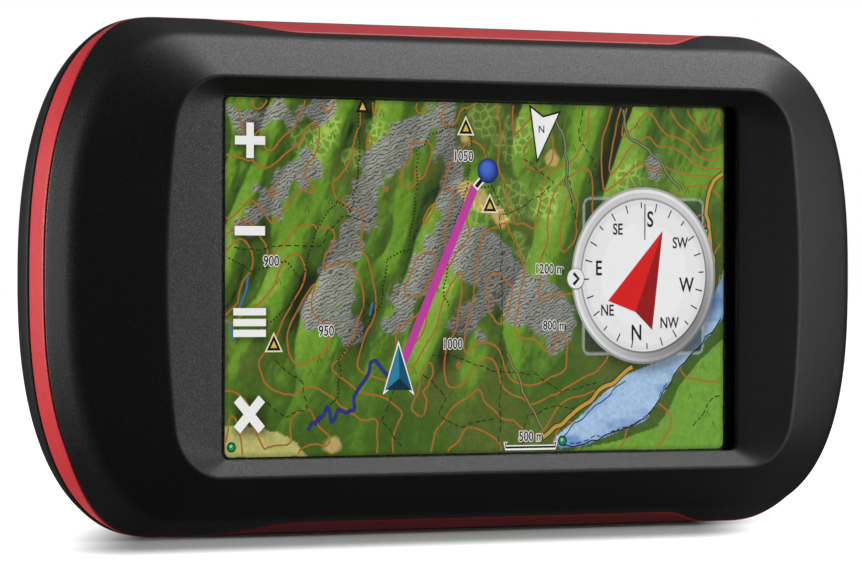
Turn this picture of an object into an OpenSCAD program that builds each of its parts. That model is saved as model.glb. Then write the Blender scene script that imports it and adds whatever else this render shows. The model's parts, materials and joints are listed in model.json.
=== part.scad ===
// Handheld GPS unit, standing in landscape on its long side.
// X runs along the body (left end is -X), Y from the screen (-Y) to the back (+Y), Z up.
// The origin is on the surface it stands on, under the middle of the body.
// Depths "d" below are counted from the highest rim of the front towards the back.

/* [Body] */
// Overall length of the body, end to end
body_length = 144.2; // [143.8:0.1:146]
// Overall height as it stands, which is the width of the unit when held upright
body_height = 74.8; // [74.6:0.1:76]
// Overall depth, front rim to back face
body_depth = 36.4; // [36.4:0.1:37.4]
// Depth of the widest line of the body, at the back of the coloured band
waist_d = 11.66; // [11.5:0.02:11.7]
// Depth at which the coloured band starts at the ends
band_d = 7.93; // [7.8:0.05:8.1]
// Width of the closed part of the ramp where the front housing laps over the band
lap = 3.42; // [3.2:0.02:3.46]

/* [Screen] */
// Length of the opening around the screen
window_length = 91.6; // [90:0.2:92]
// Height of the opening around the screen
window_height = 52.2; // [51.8:0.2:52.6]
// Length of the cover glass
glass_length = 100; // [99:0.5:100]
// Height of the cover glass
glass_height = 58.8; // [58:0.2:58.8]
// Depth of the cover glass's front face
glass_d = 2.8; // [2.7:0.05:2.85]

/* [Battery] */
// Length of the battery pack
battery_length = 56; // [50:1:56]
// Width of the battery pack
battery_width = 46; // [40:1:46]
// Thickness of the battery pack
battery_thick = 9.4; // [8:0.1:9.4]

/* [Controls and ports] */
// Power key centre along the body
key_x = -34; // [-38:0.5:-30]
// Travel of the power key
key_travel = 0.6; // [0.4:0.1:0.8]
// USB port centre along the body
usb_x = 30; // [28:0.5:32]
// Audio jack centre along the body
audio_x = 8; // [6:0.5:10]
// Radius of the audio jack's bore
audio_r = 1.8; // [1.78:0.01:1.85]
// Radius of the antenna port's bore
antenna_r = 1.75; // [1.7:0.05:1.9]

/* [Hidden] */

HX = body_length / 2;
HZ = body_height / 2;
YC = body_depth / 2;
BD = body_depth;
PD = 17.2;            // depth of the port centre line
LX = 29.3;            // latch centre along the body
LR = 10.5;            // latch disc radius
RD = 34.6;            // depth of the folded ring's wire centre
RZ = 5.4;             // height of the ring's pivot above the latch centre
CX = -45;             // camera and antenna port, along the body
K = 10;               // points per corner
FR = [0.927, 0.835, 0.745, 0.3, -0.2, -0.605, -0.72, -0.842];

// ---------- outlines ----------
// One corner quarter: x half-length, z half-height, corner length, exponent.
function pw(v, e) = v <= 0 ? 0 : pow(v, e);
function corner(hx, hz, ax, n, t) =
  [hx - ax + ax * pw(cos(t), 2 / n), hz * pw(sin(t), 2 / n)];
// The whole outline: list of [x, z], turning from +X towards +Z.
function outline(s) =
  let (hx = s[1], hz = s[2], ax = s[3], n = s[4], fx = hx - ax)
  concat(
    [for (i = [0:K]) corner(hx, hz, ax, n, i * 90 / K)],
    [for (f = FR) [f * fx, hz]],
    [for (i = [K:-1:0]) let (c = corner(hx, hz, ax, n, i * 90 / K)) [-c[0], c[1]]],
    [for (i = [1:K]) let (c = corner(hx, hz, ax, n, i * 90 / K)) [-c[0], -c[1]]],
    [for (j = [len(FR) - 1:-1:0]) [FR[j] * fx, -hz]],
    [for (i = [K:-1:1]) let (c = corner(hx, hz, ax, n, i * 90 / K)) [c[0], -c[1]]]);
// Lap of the front housing over the band, 0 open and 1 closed, in the same order.
function smooth(v) = let (u = min(1, max(0, v))) u * u * (3 - 2 * u);
function lapc(t) = smooth((t - 36) / 46);
FL = [1, 0.5, 0, 0, 0, 0, 0.5, 1];
LAPS = concat(
  [for (i = [0:K]) lapc(i * 90 / K)], FL,
  [for (i = [K:-1:0]) lapc(i * 90 / K)],
  [for (i = [1:K]) lapc(i * 90 / K)],
  [for (j = [len(FR) - 1:-1:0]) FL[j]],
  [for (i = [K:-1:1]) lapc(i * 90 / K)]);
// A station is [depth, half-length, half-height, corner length, exponent];
// two stations with a lap weight give a line that moves between them.
function ring3(s) = [for (p = outline(s)) [p[0], s[0] - YC, p[1] + HZ]];
function lapped(a, b, w) =
  let (p = ring3(a), q = ring3(b)) [for (i = [0:len(p) - 1]) p[i] + (q[i] - p[i]) * LAPS[i] * w];

// Closed ring swept round the outline: stations go once round the section.
module hoop(rings) {
  n = len(rings[0]);
  m = len(rings);
  polyhedron(points = [for (r = rings) for (p = r) p],
    faces = [for (j = [0:m - 1]) for (i = [0:n - 1])
      let (a = j * n + i, b = j * n + (i + 1) % n,
           c = ((j + 1) % m) * n + (i + 1) % n, d = ((j + 1) % m) * n + i)
      for (f = [[a, b, c], [a, c, d]]) f]);
}
// Solid loft from the first station to the last, closed at both ends.
module loft(rings) {
  n = len(rings[0]);
  m = len(rings);
  polyhedron(points = [for (r = rings) for (p = r) p],
    faces = concat(
      [[for (i = [n - 1:-1:0]) i]],
      [for (j = [0:m - 2]) for (i = [0:n - 1])
        let (a = j * n + i, b = j * n + (i + 1) % n,
             c = (j + 1) * n + (i + 1) % n, d = (j + 1) * n + i)
        for (f = [[a, b, c], [a, c, d]]) f],
      [[for (i = [0:n - 1]) (m - 1) * n + i]]));
}

// ---------- helpers, all in body depth d and height above the middle ----------
module ycyl(x, z, d0, d1, r, fn = 40)
  translate([x, d0 - YC, z + HZ]) rotate([-90, 0, 0]) cylinder(h = d1 - d0, r = r, $fn = fn);
module zcyl(x, d, z0, z1, r, fn = 40)
  translate([x, d - YC, z0 + HZ]) cylinder(h = z1 - z0, r = r, $fn = fn);
module box(x0, x1, z0, z1, d0, d1)
  translate([x0, d0 - YC, z0 + HZ]) cube([x1 - x0, d1 - d0, z1 - z0]);
module rr(w, h, r) {
  square([w - 2 * r, h], center = true);
  square([w, h - 2 * r], center = true);
  for (x = [-1, 1]) for (y = [-1, 1]) translate([x * (w / 2 - r), y * (h / 2 - r)]) circle(r = r, $fn = 32);
}
// Flat shape drawn in x and z, made solid from depth d0 to d1.
module yex(d0, d1, x = 0, z = 0)
  translate([x, d1 - YC, z + HZ]) rotate([90, 0, 0]) linear_extrude(height = d1 - d0) children();
// Flat shape drawn in x and depth, made solid from height z0 to z1.
module zex(z0, z1, x = 0, d = 0)
  translate([x, d - YC, z0 + HZ]) linear_extrude(height = z1 - z0) children();

W = [waist_d, HX, HZ, 21.5, 2.5];
F = [band_d, HX - 0.43, HZ - 1.76, 21, 2.52];
WF = [band_d + lap, HX - 0.05, HZ - 0.2, 21.5, 2.5];
POSTS = [for (x = [-51.8, 51.8]) for (z = [-24.5, 24.5]) [x, z]];
CASE_END = [for (x = [-57, 57]) for (z = [-20, 20]) [x, z]];
CASE_MID = [for (z = [-31.3, 31.3]) [-6, z]];

module front_housing() color([0.13, 0.13, 0.135]) difference() {
  union() {
    hoop([
      ring3([0, HX - 16, HZ - 8.75, 11.2, 3.17]),
      ring3([0.9, HX - 14.2, HZ - 7.85, 12.4, 3]),
      ring3([4.3, HX - 3.32, HZ - 2.7, 19.5, 2.6]),
      lapped(F, WF, 1),
      lapped([band_d, HX - 2.9, HZ - 3.4, 20, 2.45], [band_d + lap, HX - 2.9, HZ - 3.4, 20, 2.45], 1),
      ring3([13.4, HX - 2.9, HZ - 3.4, 20, 2.45]),
      ring3([13.4, HX - 4.3, HZ - 4.7, 19, 2.45]),
      ring3([7.2, HX - 6.5, HZ - 4.8, 18, 2.6]),
      ring3([4.7, HX - 18.6, HZ - 6.2, 8, 5]),
      ring3([3.9, HX - 21.8, HZ - 7.7, 1.6, 14]),
      ring3([2.6, HX - 21.8, HZ - 7.7, 1.6, 14]),
      ring3([2.6, window_length / 2, window_height / 2, 1.2, 14]),
      ring3([1.94, window_length / 2, window_height / 2, 1.2, 14])]);
    for (p = CASE_END) ycyl(p[0], p[1], 4.5, 13.8, 2.6);
    for (p = CASE_MID) ycyl(p[0], p[1], 4.5, 13.8, 2.3);
    for (p = POSTS) ycyl(p[0], p[1], 4.2, 13.9, 2.0);
  }
  for (p = concat(CASE_END, CASE_MID)) ycyl(p[0], p[1], 7, 14, 1.0, 24);
  for (p = POSTS) ycyl(p[0], p[1], 7.6, 14, 0.85, 24);
}

module accent_band() color([0.82, 0.2, 0.22])
  hoop([
    lapped([band_d + 0.09, HX - 0.4, HZ - 1.66, 21, 2.52], [band_d + lap + 0.08, HX - 0.05, HZ - 0.18, 21.5, 2.5], 1),
    ring3([waist_d - 0.2, HX - 0.02, HZ - 0.06, 21.5, 2.5]),
    ring3([waist_d, HX - 0.22, HZ - 0.3, 21.4, 2.5]),
    ring3([waist_d, HX - 2.6, HZ - 3.1, 20.2, 2.45]),
    lapped([band_d + 0.09, HX - 2.6, HZ - 3.1, 20.2, 2.45], [band_d + lap + 0.08, HX - 2.6, HZ - 3.1, 20.2, 2.45], 1)]);

module case_gasket() color([0.05, 0.05, 0.05])
  hoop([
    ring3([waist_d, HX - 0.7, HZ - 0.8, 21.2, 2.4]),
    ring3([waist_d + 0.28, HX - 0.7, HZ - 0.8, 21.2, 2.4]),
    ring3([waist_d + 0.28, HX - 2.6, HZ - 3.1, 20.2, 2.45]),
    ring3([waist_d, HX - 2.6, HZ - 3.1, 20.2, 2.45])]);

// Weather cap seat cut into the long side: pocket, hinge groove.
module cap_seat(x0, xh) {
  zex(36.0, 38, (x0 + xh) / 2, PD) rr(xh - x0 + 0.5, 8.2, 1.6);
  translate([xh, PD - YC - 4.1, 36.5 + HZ]) rotate([-90, 0, 0]) cylinder(h = 8.2, r = 1.3, $fn = 40);
}

module rear_shell() difference() {
  loft([
    ring3([waist_d + 0.3, HX - 0.06, HZ - 0.1, 21.5, 2.48]),
    ring3([waist_d + 0.7, HX, HZ, 21.6, 2.46]),
    ring3([14, HX - 0.2, HZ, 22.3, 2.4]),
    ring3([16, HX - 0.7, HZ, 22.8, 2.4]),
    ring3([18, HX - 1.9, HZ, 22.8, 2.4]),
    ring3([21, HX - 3.8, HZ, 22.6, 2.4]),
    ring3([BD - 10.4, HX - 7.1, HZ, 22.3, 2.4]),
    ring3([BD - 6.4, HX - 10.2, HZ - 0.9, 22, 2.4]),
    ring3([BD - 2.9, HX - 13.5, HZ - 3.2, 21.2, 2.4]),
    ring3([BD - 0.8, HX - 16.3, HZ - 6.4, 20, 2.4]),
    ring3([BD, HX - 18.5, HZ - 8.9, 19, 2.4])]);
  loft([
    ring3([waist_d, HX - 2.6, HZ - 3.1, 20, 2.45]),
    ring3([16, HX - 3.2, HZ - 2.8, 20, 2.45]),
    ring3([21, HX - 6, HZ - 2.8, 20, 2.45]),
    ring3([BD - 10.4, HX - 9.4, HZ - 2.8, 20, 2.45]),
    ring3([BD - 6.4, HX - 12.6, HZ - 3.6, 20, 2.45]),
    ring3([BD - 3.6, HX - 15.9, HZ - 6, 19, 2.45]),
    ring3([BD - 2.2, HX - 19.2, HZ - 8.9, 17, 2.45])]);
}

module rear_housing() color([0.12, 0.12, 0.125]) difference() {
  union() {
    rear_shell();
    box(-38.2, 44.2, -26.2, 26.2, 20, 34.6);
    for (p = CASE_END) ycyl(p[0], p[1], 14.2, 26, 3.3);
    for (p = CASE_MID) {
      ycyl(p[0], p[1], 14.2, 32.3, 3.6);
      // set in towards the middle, to stay under the rounded back edge
      ycyl(p[0], p[1] > 0 ? 29.7 : -29.7, 31.8, 34.4, 3.1);
    }
  }
  // battery bay and the door's seat
  box(-35.5, 41.5, -23.5, 23.5, 21.4, 38);
  yex(34, 38, 3) rr(81.4, 51.4, 5);
  // case screws
  for (p = CASE_END) { ycyl(p[0], p[1], 14, 22, 1.5, 24); ycyl(p[0], p[1], 18, 38, 2.7); }
  for (p = CASE_MID) { ycyl(p[0], p[1], 14, 22, 1.5, 24); ycyl(p[0], p[1], 18, 38, 2.2); }
  // power key
  zex(33, 38, key_x, 18.2) rr(12.2, 5.4, 2.2);
  // ports on the long side
  cap_seat(usb_x - 7.4, usb_x + 8.2);
  zex(33, 37, usb_x, PD) rr(8.4, 4.6, 0.8);
  cap_seat(audio_x - 5.4, audio_x + 7);
  zcyl(audio_x, PD, 33, 37, 3.0);
  // camera
  ycyl(CX, 4.5, 33, 37, 3.1);
  ycyl(CX, 4.5, 34.9, 37, 3.75);
  ycyl(CX, 4.5, 35.5, 37, 5.1);
  // antenna port
  ycyl(CX, -8, 33, 37, 2.5);
  yex(35.05, 38, CX - 0.9, -8) rr(10, 8.4, 1.6);
  translate([CX - 5.6, 35.6 - YC, -8 - 4.2 + HZ]) cylinder(h = 8.4, r = 1.3, $fn = 40);
  // cradle contacts
  yex(33, 38, 47.6) rr(4.4, 18.4, 1.2);
  // sounder slots and vent
  for (i = [-1:1]) box(48.2 + i * 2.1 - 0.4, 48.2 + i * 2.1 + 0.4, 11.8, 16.2, 33, 38);
  ycyl(48.2, -14, 33, 38, 1.0, 24);
}

module glass_adhesive() color([0.03, 0.03, 0.03]) difference() {
  yex(2.6, glass_d) rr(glass_length, glass_height, 2);
  yex(2, 4) rr(92.4, 53.2, 1);
}
module touch_glass() color([0.05, 0.06, 0.07, 0.4])
  yex(glass_d, glass_d + 0.7) rr(glass_length, glass_height, 2);
module touch_sensor() color([0.75, 0.8, 0.8, 0.4])
  yex(3.5, 3.76) rr(95, 57, 1);
module lcd_panel() color([0.35, 0.55, 0.25])
  yex(3.78, 5.57) rr(93.2, 55.6, 0.6);
module lcd_backlight() color([0.9, 0.9, 0.88])
  yex(5.57, 7.68) rr(92.4, 54.8, 0.6);
module lcd_frame() color([0.7, 0.71, 0.73]) difference() {
  yex(3.95, 8.0) rr(95.2, 57.2, 1);
  yex(3, 7.7) rr(93.4, 55.8, 0.6);
  box(40, 50, -8.4, 8.4, 4, 7);
}
module lcd_flex() color([0.75, 0.5, 0.15])
  zex(-8, 8) polygon([[46.7, 5.0], [49.4, 5.0], [49.4, 13.85], [42, 13.85], [42, 13.65], [49.2, 13.65], [49.2, 5.2], [46.7, 5.2]]);

module main_board() color([0.05, 0.3, 0.16]) difference() {
  union() {
    yex(13.9, 15.1) rr(108, 57, 2);
    box(2, 38, 28, 31.6, 13.9, 15.1);
  }
  for (p = POSTS) ycyl(p[0], p[1], 13, 16, 1.1, 24);
  for (p = CASE_END) ycyl(p[0], p[1], 13, 16, 3.6);
  for (p = CASE_MID) ycyl(p[0], p[1], 13, 16, 3.9);
}
module can(x, z, w, h) difference() {
  yex(11.4, 13.9, x, z) rr(w, h, 0.8);
  yex(11.7, 14.5, x, z) rr(w - 0.6, h - 0.6, 0.5);
}
module shield_cans() color([0.75, 0.76, 0.78]) {
  can(-24, -1, 32, 34);
  can(17, -8, 34, 24);
  can(17, 15, 34, 14);
}
module antenna_board() color([0.05, 0.25, 0.4])
  yex(18.4, 19.4, -52, 0) rr(21, 23, 1);
module gps_antenna_patch() color([0.88, 0.84, 0.72]) difference() {
  yex(19.4, 23.4, -52, 0) rr(18, 18, 0.6);
  ycyl(-52, 1.5, 19, 24, 0.5, 16);
}
module rear_board() color([0.05, 0.3, 0.16])
  yex(25, 26, CX, -1.3) rr(11.4, 23.4, 0.8);

module battery_pack() color([0.1, 0.1, 0.11]) difference() {
  yex(21.55, 21.55 + battery_thick, -7 - (56 - battery_length) / 2) rr(battery_length, battery_width, 1.8);
  for (z = [-4, 0, 4]) box(20.5 - (56 - battery_length), 22, z - 1.1, z + 1.1, 23, 26);
}
module battery_terminals() color([0.85, 0.68, 0.3])
  for (z = [-4, 0, 4]) translate([battery_length - 56, 0, 0]) box(20.5, 20.95, z - 1.1, z + 1.1, 23, 26);
module battery_contact_block() color([0.15, 0.15, 0.16]) difference() {
  box(21.6, 24, -7, 7, 21.4, 28);
  for (z = [-4, 0, 4]) box(21.5, 23.2, z - 0.9, z + 0.9, 22, 27);
}
module battery_contacts() color([0.85, 0.68, 0.3])
  for (z = [-4, 0, 4]) zex(z - 0.7, z + 0.7)
    polygon([[23.2, 22.1], [23.2, 26.9], [22.9, 26.9], [21.3, 24.9], [21.3, 24.3], [22.9, 22.5], [22.9, 22.1]]);

module battery_door() color([0.13, 0.13, 0.135]) difference() {
  union() {
    yex(34.12, BD - 0.05, 3) rr(80.8, 50.8, 4.7);
    ycyl(LX, 0, 32.4, 34.5, 12.2, 64);
    for (x = [-30, -20, -10, 0, 10]) box(x - 0.6, x + 0.6, -21, 21, 32.4, 34.5);
    for (z = [-14, 14]) box(-30, 16, z - 0.6, z + 0.6, 32.4, 34.5);
  }
  ycyl(LX, 0, 30, 38, LR + 0.3, 64);
  // gasket groove
  difference() {
    yex(33.9, 34.9, 3) rr(79.6, 49.6, 4.1);
    yex(33.8, 35, 3) rr(78, 48, 3.3);
  }
  // shallow thumb grooves across the outer face
  for (i = [0:3]) box(-33.6 + i * 2.6, -32.4 + i * 2.6, -9, 9, BD - 0.5, BD + 1);
}
module door_gasket() color([0.45, 0.46, 0.48]) difference() {
  yex(34.03, 34.88, 3) rr(79.5, 49.5, 4.05);
  yex(33, 36, 3) rr(78.1, 48.1, 3.35);
}
module latch_disc() color([0.16, 0.16, 0.165]) difference() {
  union() {
    ycyl(LX, 0, 31.5, BD - 0.2, LR, 64);
    ycyl(LX, 0, 31.5, 32.1, 11.6, 64);
  }
  yex(32.9, 38, LX) {
    translate([-7, -2.6]) square([14, 9.8]);
    translate([0, -2.6]) circle(r = 7, $fn = 64);
  }
  translate([LX - 8.9, RD - YC, RZ + HZ]) rotate([0, 90, 0]) cylinder(h = 17.8, r = 1.02, $fn = 32);
  ycyl(LX, 0, 31, 32.55, 1.15, 24);
}
module latch_cam() color([0.6, 0.61, 0.63]) difference() {
  union() {
    ycyl(LX, 0, 30.1, 31.5, 4);
    box(LX, LX + 10.9, -2.6, 2.6, 30.1, 31.5);
  }
  ycyl(LX, 0, 29, 32, 1.25, 24);
}
module latch_screw() color([0.6, 0.6, 0.62]) difference() {
  union() {
    ycyl(LX, 0, 28.9, 30.1, 2.3);
    ycyl(LX, 0, 29.5, 32.5, 1.1, 24);
  }
  ycyl(LX, 0, 28, 29.5, 0.9, 6);
}
module d_ring() color([0.55, 0.56, 0.58]) translate([LX, RD - YC, HZ]) {
  for (x = [-5.6, 5.6]) translate([x, 0, -2.6]) cylinder(h = 8.0, r = 1.1, $fn = 32);
  for (x = [-5.6, 5.6]) translate([x, 0, RZ]) sphere(r = 1.1, $fn = 32);
  translate([0, 0, -2.6]) rotate([90, 0, 0]) rotate([0, 0, 180])
    rotate_extrude(angle = 180, $fn = 64) translate([5.6, 0]) circle(r = 1.1, $fn = 32);
  translate([-8.5, 0, RZ]) rotate([0, 90, 0]) cylinder(h = 17, r = 0.95, $fn = 32);
}

module power_key() color([0.1, 0.1, 0.105]) difference() {
  union() {
    zex(33.9, HZ - 0.15, key_x, 18.2) rr(11.6, 4.8, 1.9);
    zex(33.2, 34.0, key_x, 18.2) rr(14, 7, 1.2);
  }
  // ring mark on the face
  translate([key_x, 18.2 - YC, 2 * HZ - 0.35]) difference() {
    cylinder(h = 1, r = 1.5, $fn = 32);
    translate([0, 0, -1]) cylinder(h = 3, r = 1.1, $fn = 32);
  }
}
module key_seal() color([0.3, 0.3, 0.31]) difference() {
  zex(34.02, 34.42, key_x, 18.2) rr(15, 8.2, 1.4);
  zex(33, 36, key_x, 18.2) rr(11.8, 5.0, 2.0);
}
module key_switch() color([0.8, 0.8, 0.8]) difference() {
  box(key_x - 3, key_x + 3, 30.4, 32, 16.4, 20);
  zcyl(key_x, 18.2, 30.9, 33, 0.95, 24);
}
module key_plunger() color([0.2, 0.2, 0.2]) zcyl(key_x, 18.2, 31.8, 33.2, 0.85, 24);
module key_board() color([0.05, 0.3, 0.16]) box(key_x - 7, key_x + 7, 29.6, 30.4, 15.2, 19.9);

module camera_bezel() color([0.55, 0.56, 0.58]) difference() {
  ycyl(CX, 4.5, 35.52, BD, 5.05, 64);
  ycyl(CX, 4.5, 35, 37, 3.0, 64);
}
module camera_window() color([0.05, 0.05, 0.07, 0.5]) ycyl(CX, 4.5, 34.92, 35.5, 3.7, 64);
module camera_module() color([0.08, 0.08, 0.09]) {
  box(CX - 4, CX + 4, 0.5, 8.5, 26, 31.4);
  difference() {
    ycyl(CX, 4.5, 31.4, 34.7, 2.8);
    ycyl(CX, 4.5, 33.9, 35, 1.6);
  }
}

module usb_port() color([0.72, 0.73, 0.75]) {
  difference() {
    zex(27, 35.9, usb_x, PD) rr(7.8, 4.1, 0.6);
    zex(28.5, 37, usb_x, PD) rr(6.9, 3.1, 0.4);
  }
  box(usb_x - 1.8, usb_x + 1.8, 28.2, 33.4, PD - 0.5, PD + 0.5);
}
// Weather cap: plate, plug and hinge barrel. The plug is drawn as children.
module cap(x0, xh) {
  zex(36.1, HZ - 0.15, (x0 + xh - 1.2) / 2, PD) rr(xh - x0 - 1.2, 7.6, 1.4);
  box(xh - 2.6, xh, 36.1, 36.9, PD - 3.4, PD + 3.4);
  translate([xh, PD - YC - 3.4, 36.5 + HZ]) rotate([-90, 0, 0]) cylinder(h = 6.8, r = 0.9, $fn = 32);
  children();
}
module usb_cap() color([0.11, 0.11, 0.115]) cap(usb_x - 7.4, usb_x + 8.2)
  zex(34.6, 36.4, usb_x, PD) difference() { rr(6.1, 2.4, 0.4); square([3.9, 1.3], center = true); }
module audio_jack() color([0.09, 0.09, 0.1]) difference() {
  union() {
    box(audio_x - 3.2, audio_x + 3.2, 22.5, 34, 15.1, 19.6);
    zcyl(audio_x, PD, 33.5, 35.4, 2.8);
  }
  zcyl(audio_x, PD, 23.2, 36.5, audio_r);
}
module audio_cap() color([0.11, 0.11, 0.115]) cap(audio_x - 5.4, audio_x + 7)
  zcyl(audio_x, PD, 35.6, 36.4, 2.7);
module antenna_connector() color([0.85, 0.7, 0.35]) difference() {
  union() {
    ycyl(CX, -8, 27, 34.4, 2.35);
    box(CX - 2.8, CX + 2.8, -10.8, -5.2, 26, 28);
  }
  ycyl(CX, -8, 31.2, 36, antenna_r);
  difference() { ycyl(CX, -8, 29.5, 31.3, 1.3, 24); ycyl(CX, -8, 29, 31, 0.5, 24); }
}
module antenna_cap() color([0.11, 0.11, 0.115]) {
  yex(35.15, BD - 0.15, CX - 0.2, -8) rr(8, 7.8, 1.4);
  box(CX - 5.6, CX - 3.4, -11.4, -4.6, 35.15, 35.95);
  translate([CX - 5.6, 35.6 - YC, -11.4 + HZ]) cylinder(h = 6.8, r = 0.75, $fn = 32);
  ycyl(CX, -8, 34.6, 35.4, 2.2);
}

module contact_block() color([0.07, 0.07, 0.075]) difference() {
  union() {
    yex(33.6, BD - 0.3, 47.6) rr(4.2, 18.2, 1.1);
    yex(33.2, 34.0, 47.6) rr(5.4, 20, 1.2);
  }
  for (i = [-2:2]) ycyl(47.6, i * 3.4, 32, 38, 1.0, 24);
}
module cradle_contacts() color([0.9, 0.74, 0.35])
  for (i = [-2:2]) ycyl(47.6, i * 3.4, 31.5, BD - 0.35, 0.98, 24);

module memory_card_socket() color([0.72, 0.73, 0.75]) difference() {
  box(23.9, 36.1, -22.4, -8.5, 21.4, 23.3);
  box(24.4, 35.6, -22.0, -8, 21.75, 22.95);
}
module memory_card() color([0.06, 0.06, 0.07]) zex(-21.7, -6.8)
  polygon([[24.55, 21.85], [35.45, 21.85], [35.45, 22.85], [24.55, 22.85]]);

module buzzer() color([0.08, 0.08, 0.09]) difference() {
  ycyl(48.5, 14, 30.2, 33.6, 3.6);
  ycyl(48.5, 14, 32.8, 35, 2.4);
}
module vent_membrane() color([0.9, 0.9, 0.9]) ycyl(48.2, -14, 33.95, 34.15, 2.6);
module case_screws() color([0.2, 0.2, 0.21])
  for (p = concat(CASE_END, CASE_MID)) difference() {
    union() {
      ycyl(p[0], p[1], 18, 19.6, 2.0);
      ycyl(p[0], p[1], 8.2, 18.4, 0.98, 24);
    }
    ycyl(p[0], p[1], 18.7, 20, 1.1, 6);
  }
module board_screws() color([0.7, 0.7, 0.72])
  for (p = POSTS) difference() {
    union() {
      ycyl(p[0], p[1], 15.1, 16.3, 1.8);
      ycyl(p[0], p[1], 8.4, 15.3, 0.83, 24);
    }
    ycyl(p[0], p[1], 15.8, 17, 0.8, 6);
  }

front_housing();
accent_band();
rear_housing();
case_gasket();
glass_adhesive();
touch_glass();
touch_sensor();
lcd_panel();
lcd_backlight();
lcd_frame();
lcd_flex();
main_board();
shield_cans();
gps_antenna_patch();
antenna_board();
rear_board();
battery_pack();
battery_terminals();
battery_contacts();
battery_contact_block();
battery_door();
door_gasket();
latch_disc();
latch_cam();
latch_screw();
d_ring();
power_key();
key_seal();
key_switch();
key_plunger();
key_board();
camera_bezel();
camera_window();
camera_module();
usb_port();
usb_cap();
audio_jack();
audio_cap();
antenna_connector();
antenna_cap();
cradle_contacts();
contact_block();
memory_card_socket();
memory_card();
buzzer();
vent_membrane();
case_screws();
board_screws();
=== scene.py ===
import json
import math

import bmesh
import bpy
import numpy as np
from mathutils import Matrix, Vector

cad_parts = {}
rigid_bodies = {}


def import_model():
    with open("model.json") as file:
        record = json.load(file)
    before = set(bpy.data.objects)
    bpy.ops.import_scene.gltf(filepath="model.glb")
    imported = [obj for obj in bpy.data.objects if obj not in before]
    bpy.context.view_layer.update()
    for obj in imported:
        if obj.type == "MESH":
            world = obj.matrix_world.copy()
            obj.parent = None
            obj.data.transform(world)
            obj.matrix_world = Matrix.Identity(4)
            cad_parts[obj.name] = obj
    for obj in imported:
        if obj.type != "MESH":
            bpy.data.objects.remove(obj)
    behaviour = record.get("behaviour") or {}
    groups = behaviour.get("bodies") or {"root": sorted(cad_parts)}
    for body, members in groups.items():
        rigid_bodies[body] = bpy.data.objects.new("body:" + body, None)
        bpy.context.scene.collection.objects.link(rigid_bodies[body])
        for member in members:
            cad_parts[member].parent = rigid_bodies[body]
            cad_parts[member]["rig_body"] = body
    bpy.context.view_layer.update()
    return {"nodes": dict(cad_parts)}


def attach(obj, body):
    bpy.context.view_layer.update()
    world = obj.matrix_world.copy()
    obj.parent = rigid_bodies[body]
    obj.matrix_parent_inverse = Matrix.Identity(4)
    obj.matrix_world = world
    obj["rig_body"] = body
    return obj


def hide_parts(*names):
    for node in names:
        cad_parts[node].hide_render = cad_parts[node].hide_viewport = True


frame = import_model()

BODY_OF = {n: ob["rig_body"] for n, ob in frame["nodes"].items()}
MM = 0.001
HX, HZ, YC = 72.1, 37.4, 18.2      # half length, half height, half depth of the body, mm
PD = 17.2                          # depth of the port centre line
LX, LR = 29.3, 10.5                # latch centre along the body, latch radius
CX = -45.0                         # camera and antenna port along the body
scene = bpy.context.scene


# =====================================================================
# Outlines. A point of an outline is (x, z) about the body's middle, mm.
# =====================================================================
N_END, N_COR, N_FLAT = 20, 44, 84


def resample(p, n, last=False):
    """n points evenly along polyline p, with or without its last point."""
    d = np.concatenate([[0], np.cumsum(np.hypot(*np.diff(p, axis=0).T))])
    s = np.linspace(0, d[-1], n + (0 if last else 1))
    out = np.stack([np.interp(s, d, p[:, k]) for k in range(2)], 1)
    return out if last else out[:-1]


def quarter(spec):
    """One quarter of an outline from +X to +Z, always with the same number of points:
    end, corner and flat are sampled apart, so corners stay in line from ring to ring."""
    kind = spec[0]
    if kind == "S":                      # long curved end: half length, half height, corner length, exponent
        _, hx, hz, ax, n = spec
        t = np.linspace(0, np.pi / 2, 700)
        x = hx - ax + ax * np.cos(t) ** (2 / n)
        z = hz * np.sin(t) ** (2 / n)
        z[-1] = hz
        x[-1] = hx - ax
        c = np.stack([x, z], 1)
        zb = 0.66 * hz
        i = int(np.searchsorted(z, zb))
        end, cor = c[: i + 1], c[i:]
    else:                                # bowed rectangle: half length, half height, corner radius, bow
        _, hx, hz, r, bow = spec
        t = np.linspace(0, np.pi / 2, 120)
        m = 2.15
        cor = np.stack([hx - r + r * np.cos(t) ** (2 / m), hz - r + r * np.sin(t) ** (2 / m)], 1)
        end = np.stack([np.full(60, hx), np.linspace(0, hz - r, 60)], 1)
        for a in (end, cor):
            a[:, 0] -= bow * (a[:, 0] / hx) * (a[:, 1] / hz) ** 2
    flat = np.stack([np.linspace(cor[-1, 0], 0, 60), np.full(60, cor[-1, 1])], 1)
    return np.concatenate([resample(end, N_END), resample(cor, N_COR), resample(flat, N_FLAT)])


QN = N_END + N_COR + N_FLAT
QEND = np.concatenate([np.zeros(N_END), np.arange(N_COR) / N_COR, np.ones(N_FLAT)])   # place along the corner


def outline(spec):
    """The whole outline, turning from +X to +Z to -X to -Z."""
    q = quarter(spec)
    top = np.array([[0, q[-1, 1]]])
    q1 = q
    q2 = np.concatenate([top, q[:0:-1]]) * [-1, 1]
    q3 = q * [-1, -1]
    q4 = np.concatenate([top, q[:0:-1]]) * [1, -1]
    return np.concatenate([q1, q2, q3, q4])


def place():
    """Per outline point: its place along the corner (0 end, 1 flat side)."""
    q = QEND
    r = np.concatenate([[1.0], q[:0:-1]])
    return np.concatenate([q, r, q, r])


def smooth(v):
    u = np.clip(v, 0, 1)
    return u * u * (3 - 2 * u)


def ring(d, spec):
    o = outline(spec)
    return np.stack([o[:, 0], np.full(len(o), d - YC), o[:, 1] + HZ], 1)


def mix(a, b, w):
    return a + (b - a) * (w[:, None] if np.ndim(w) else w)


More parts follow.
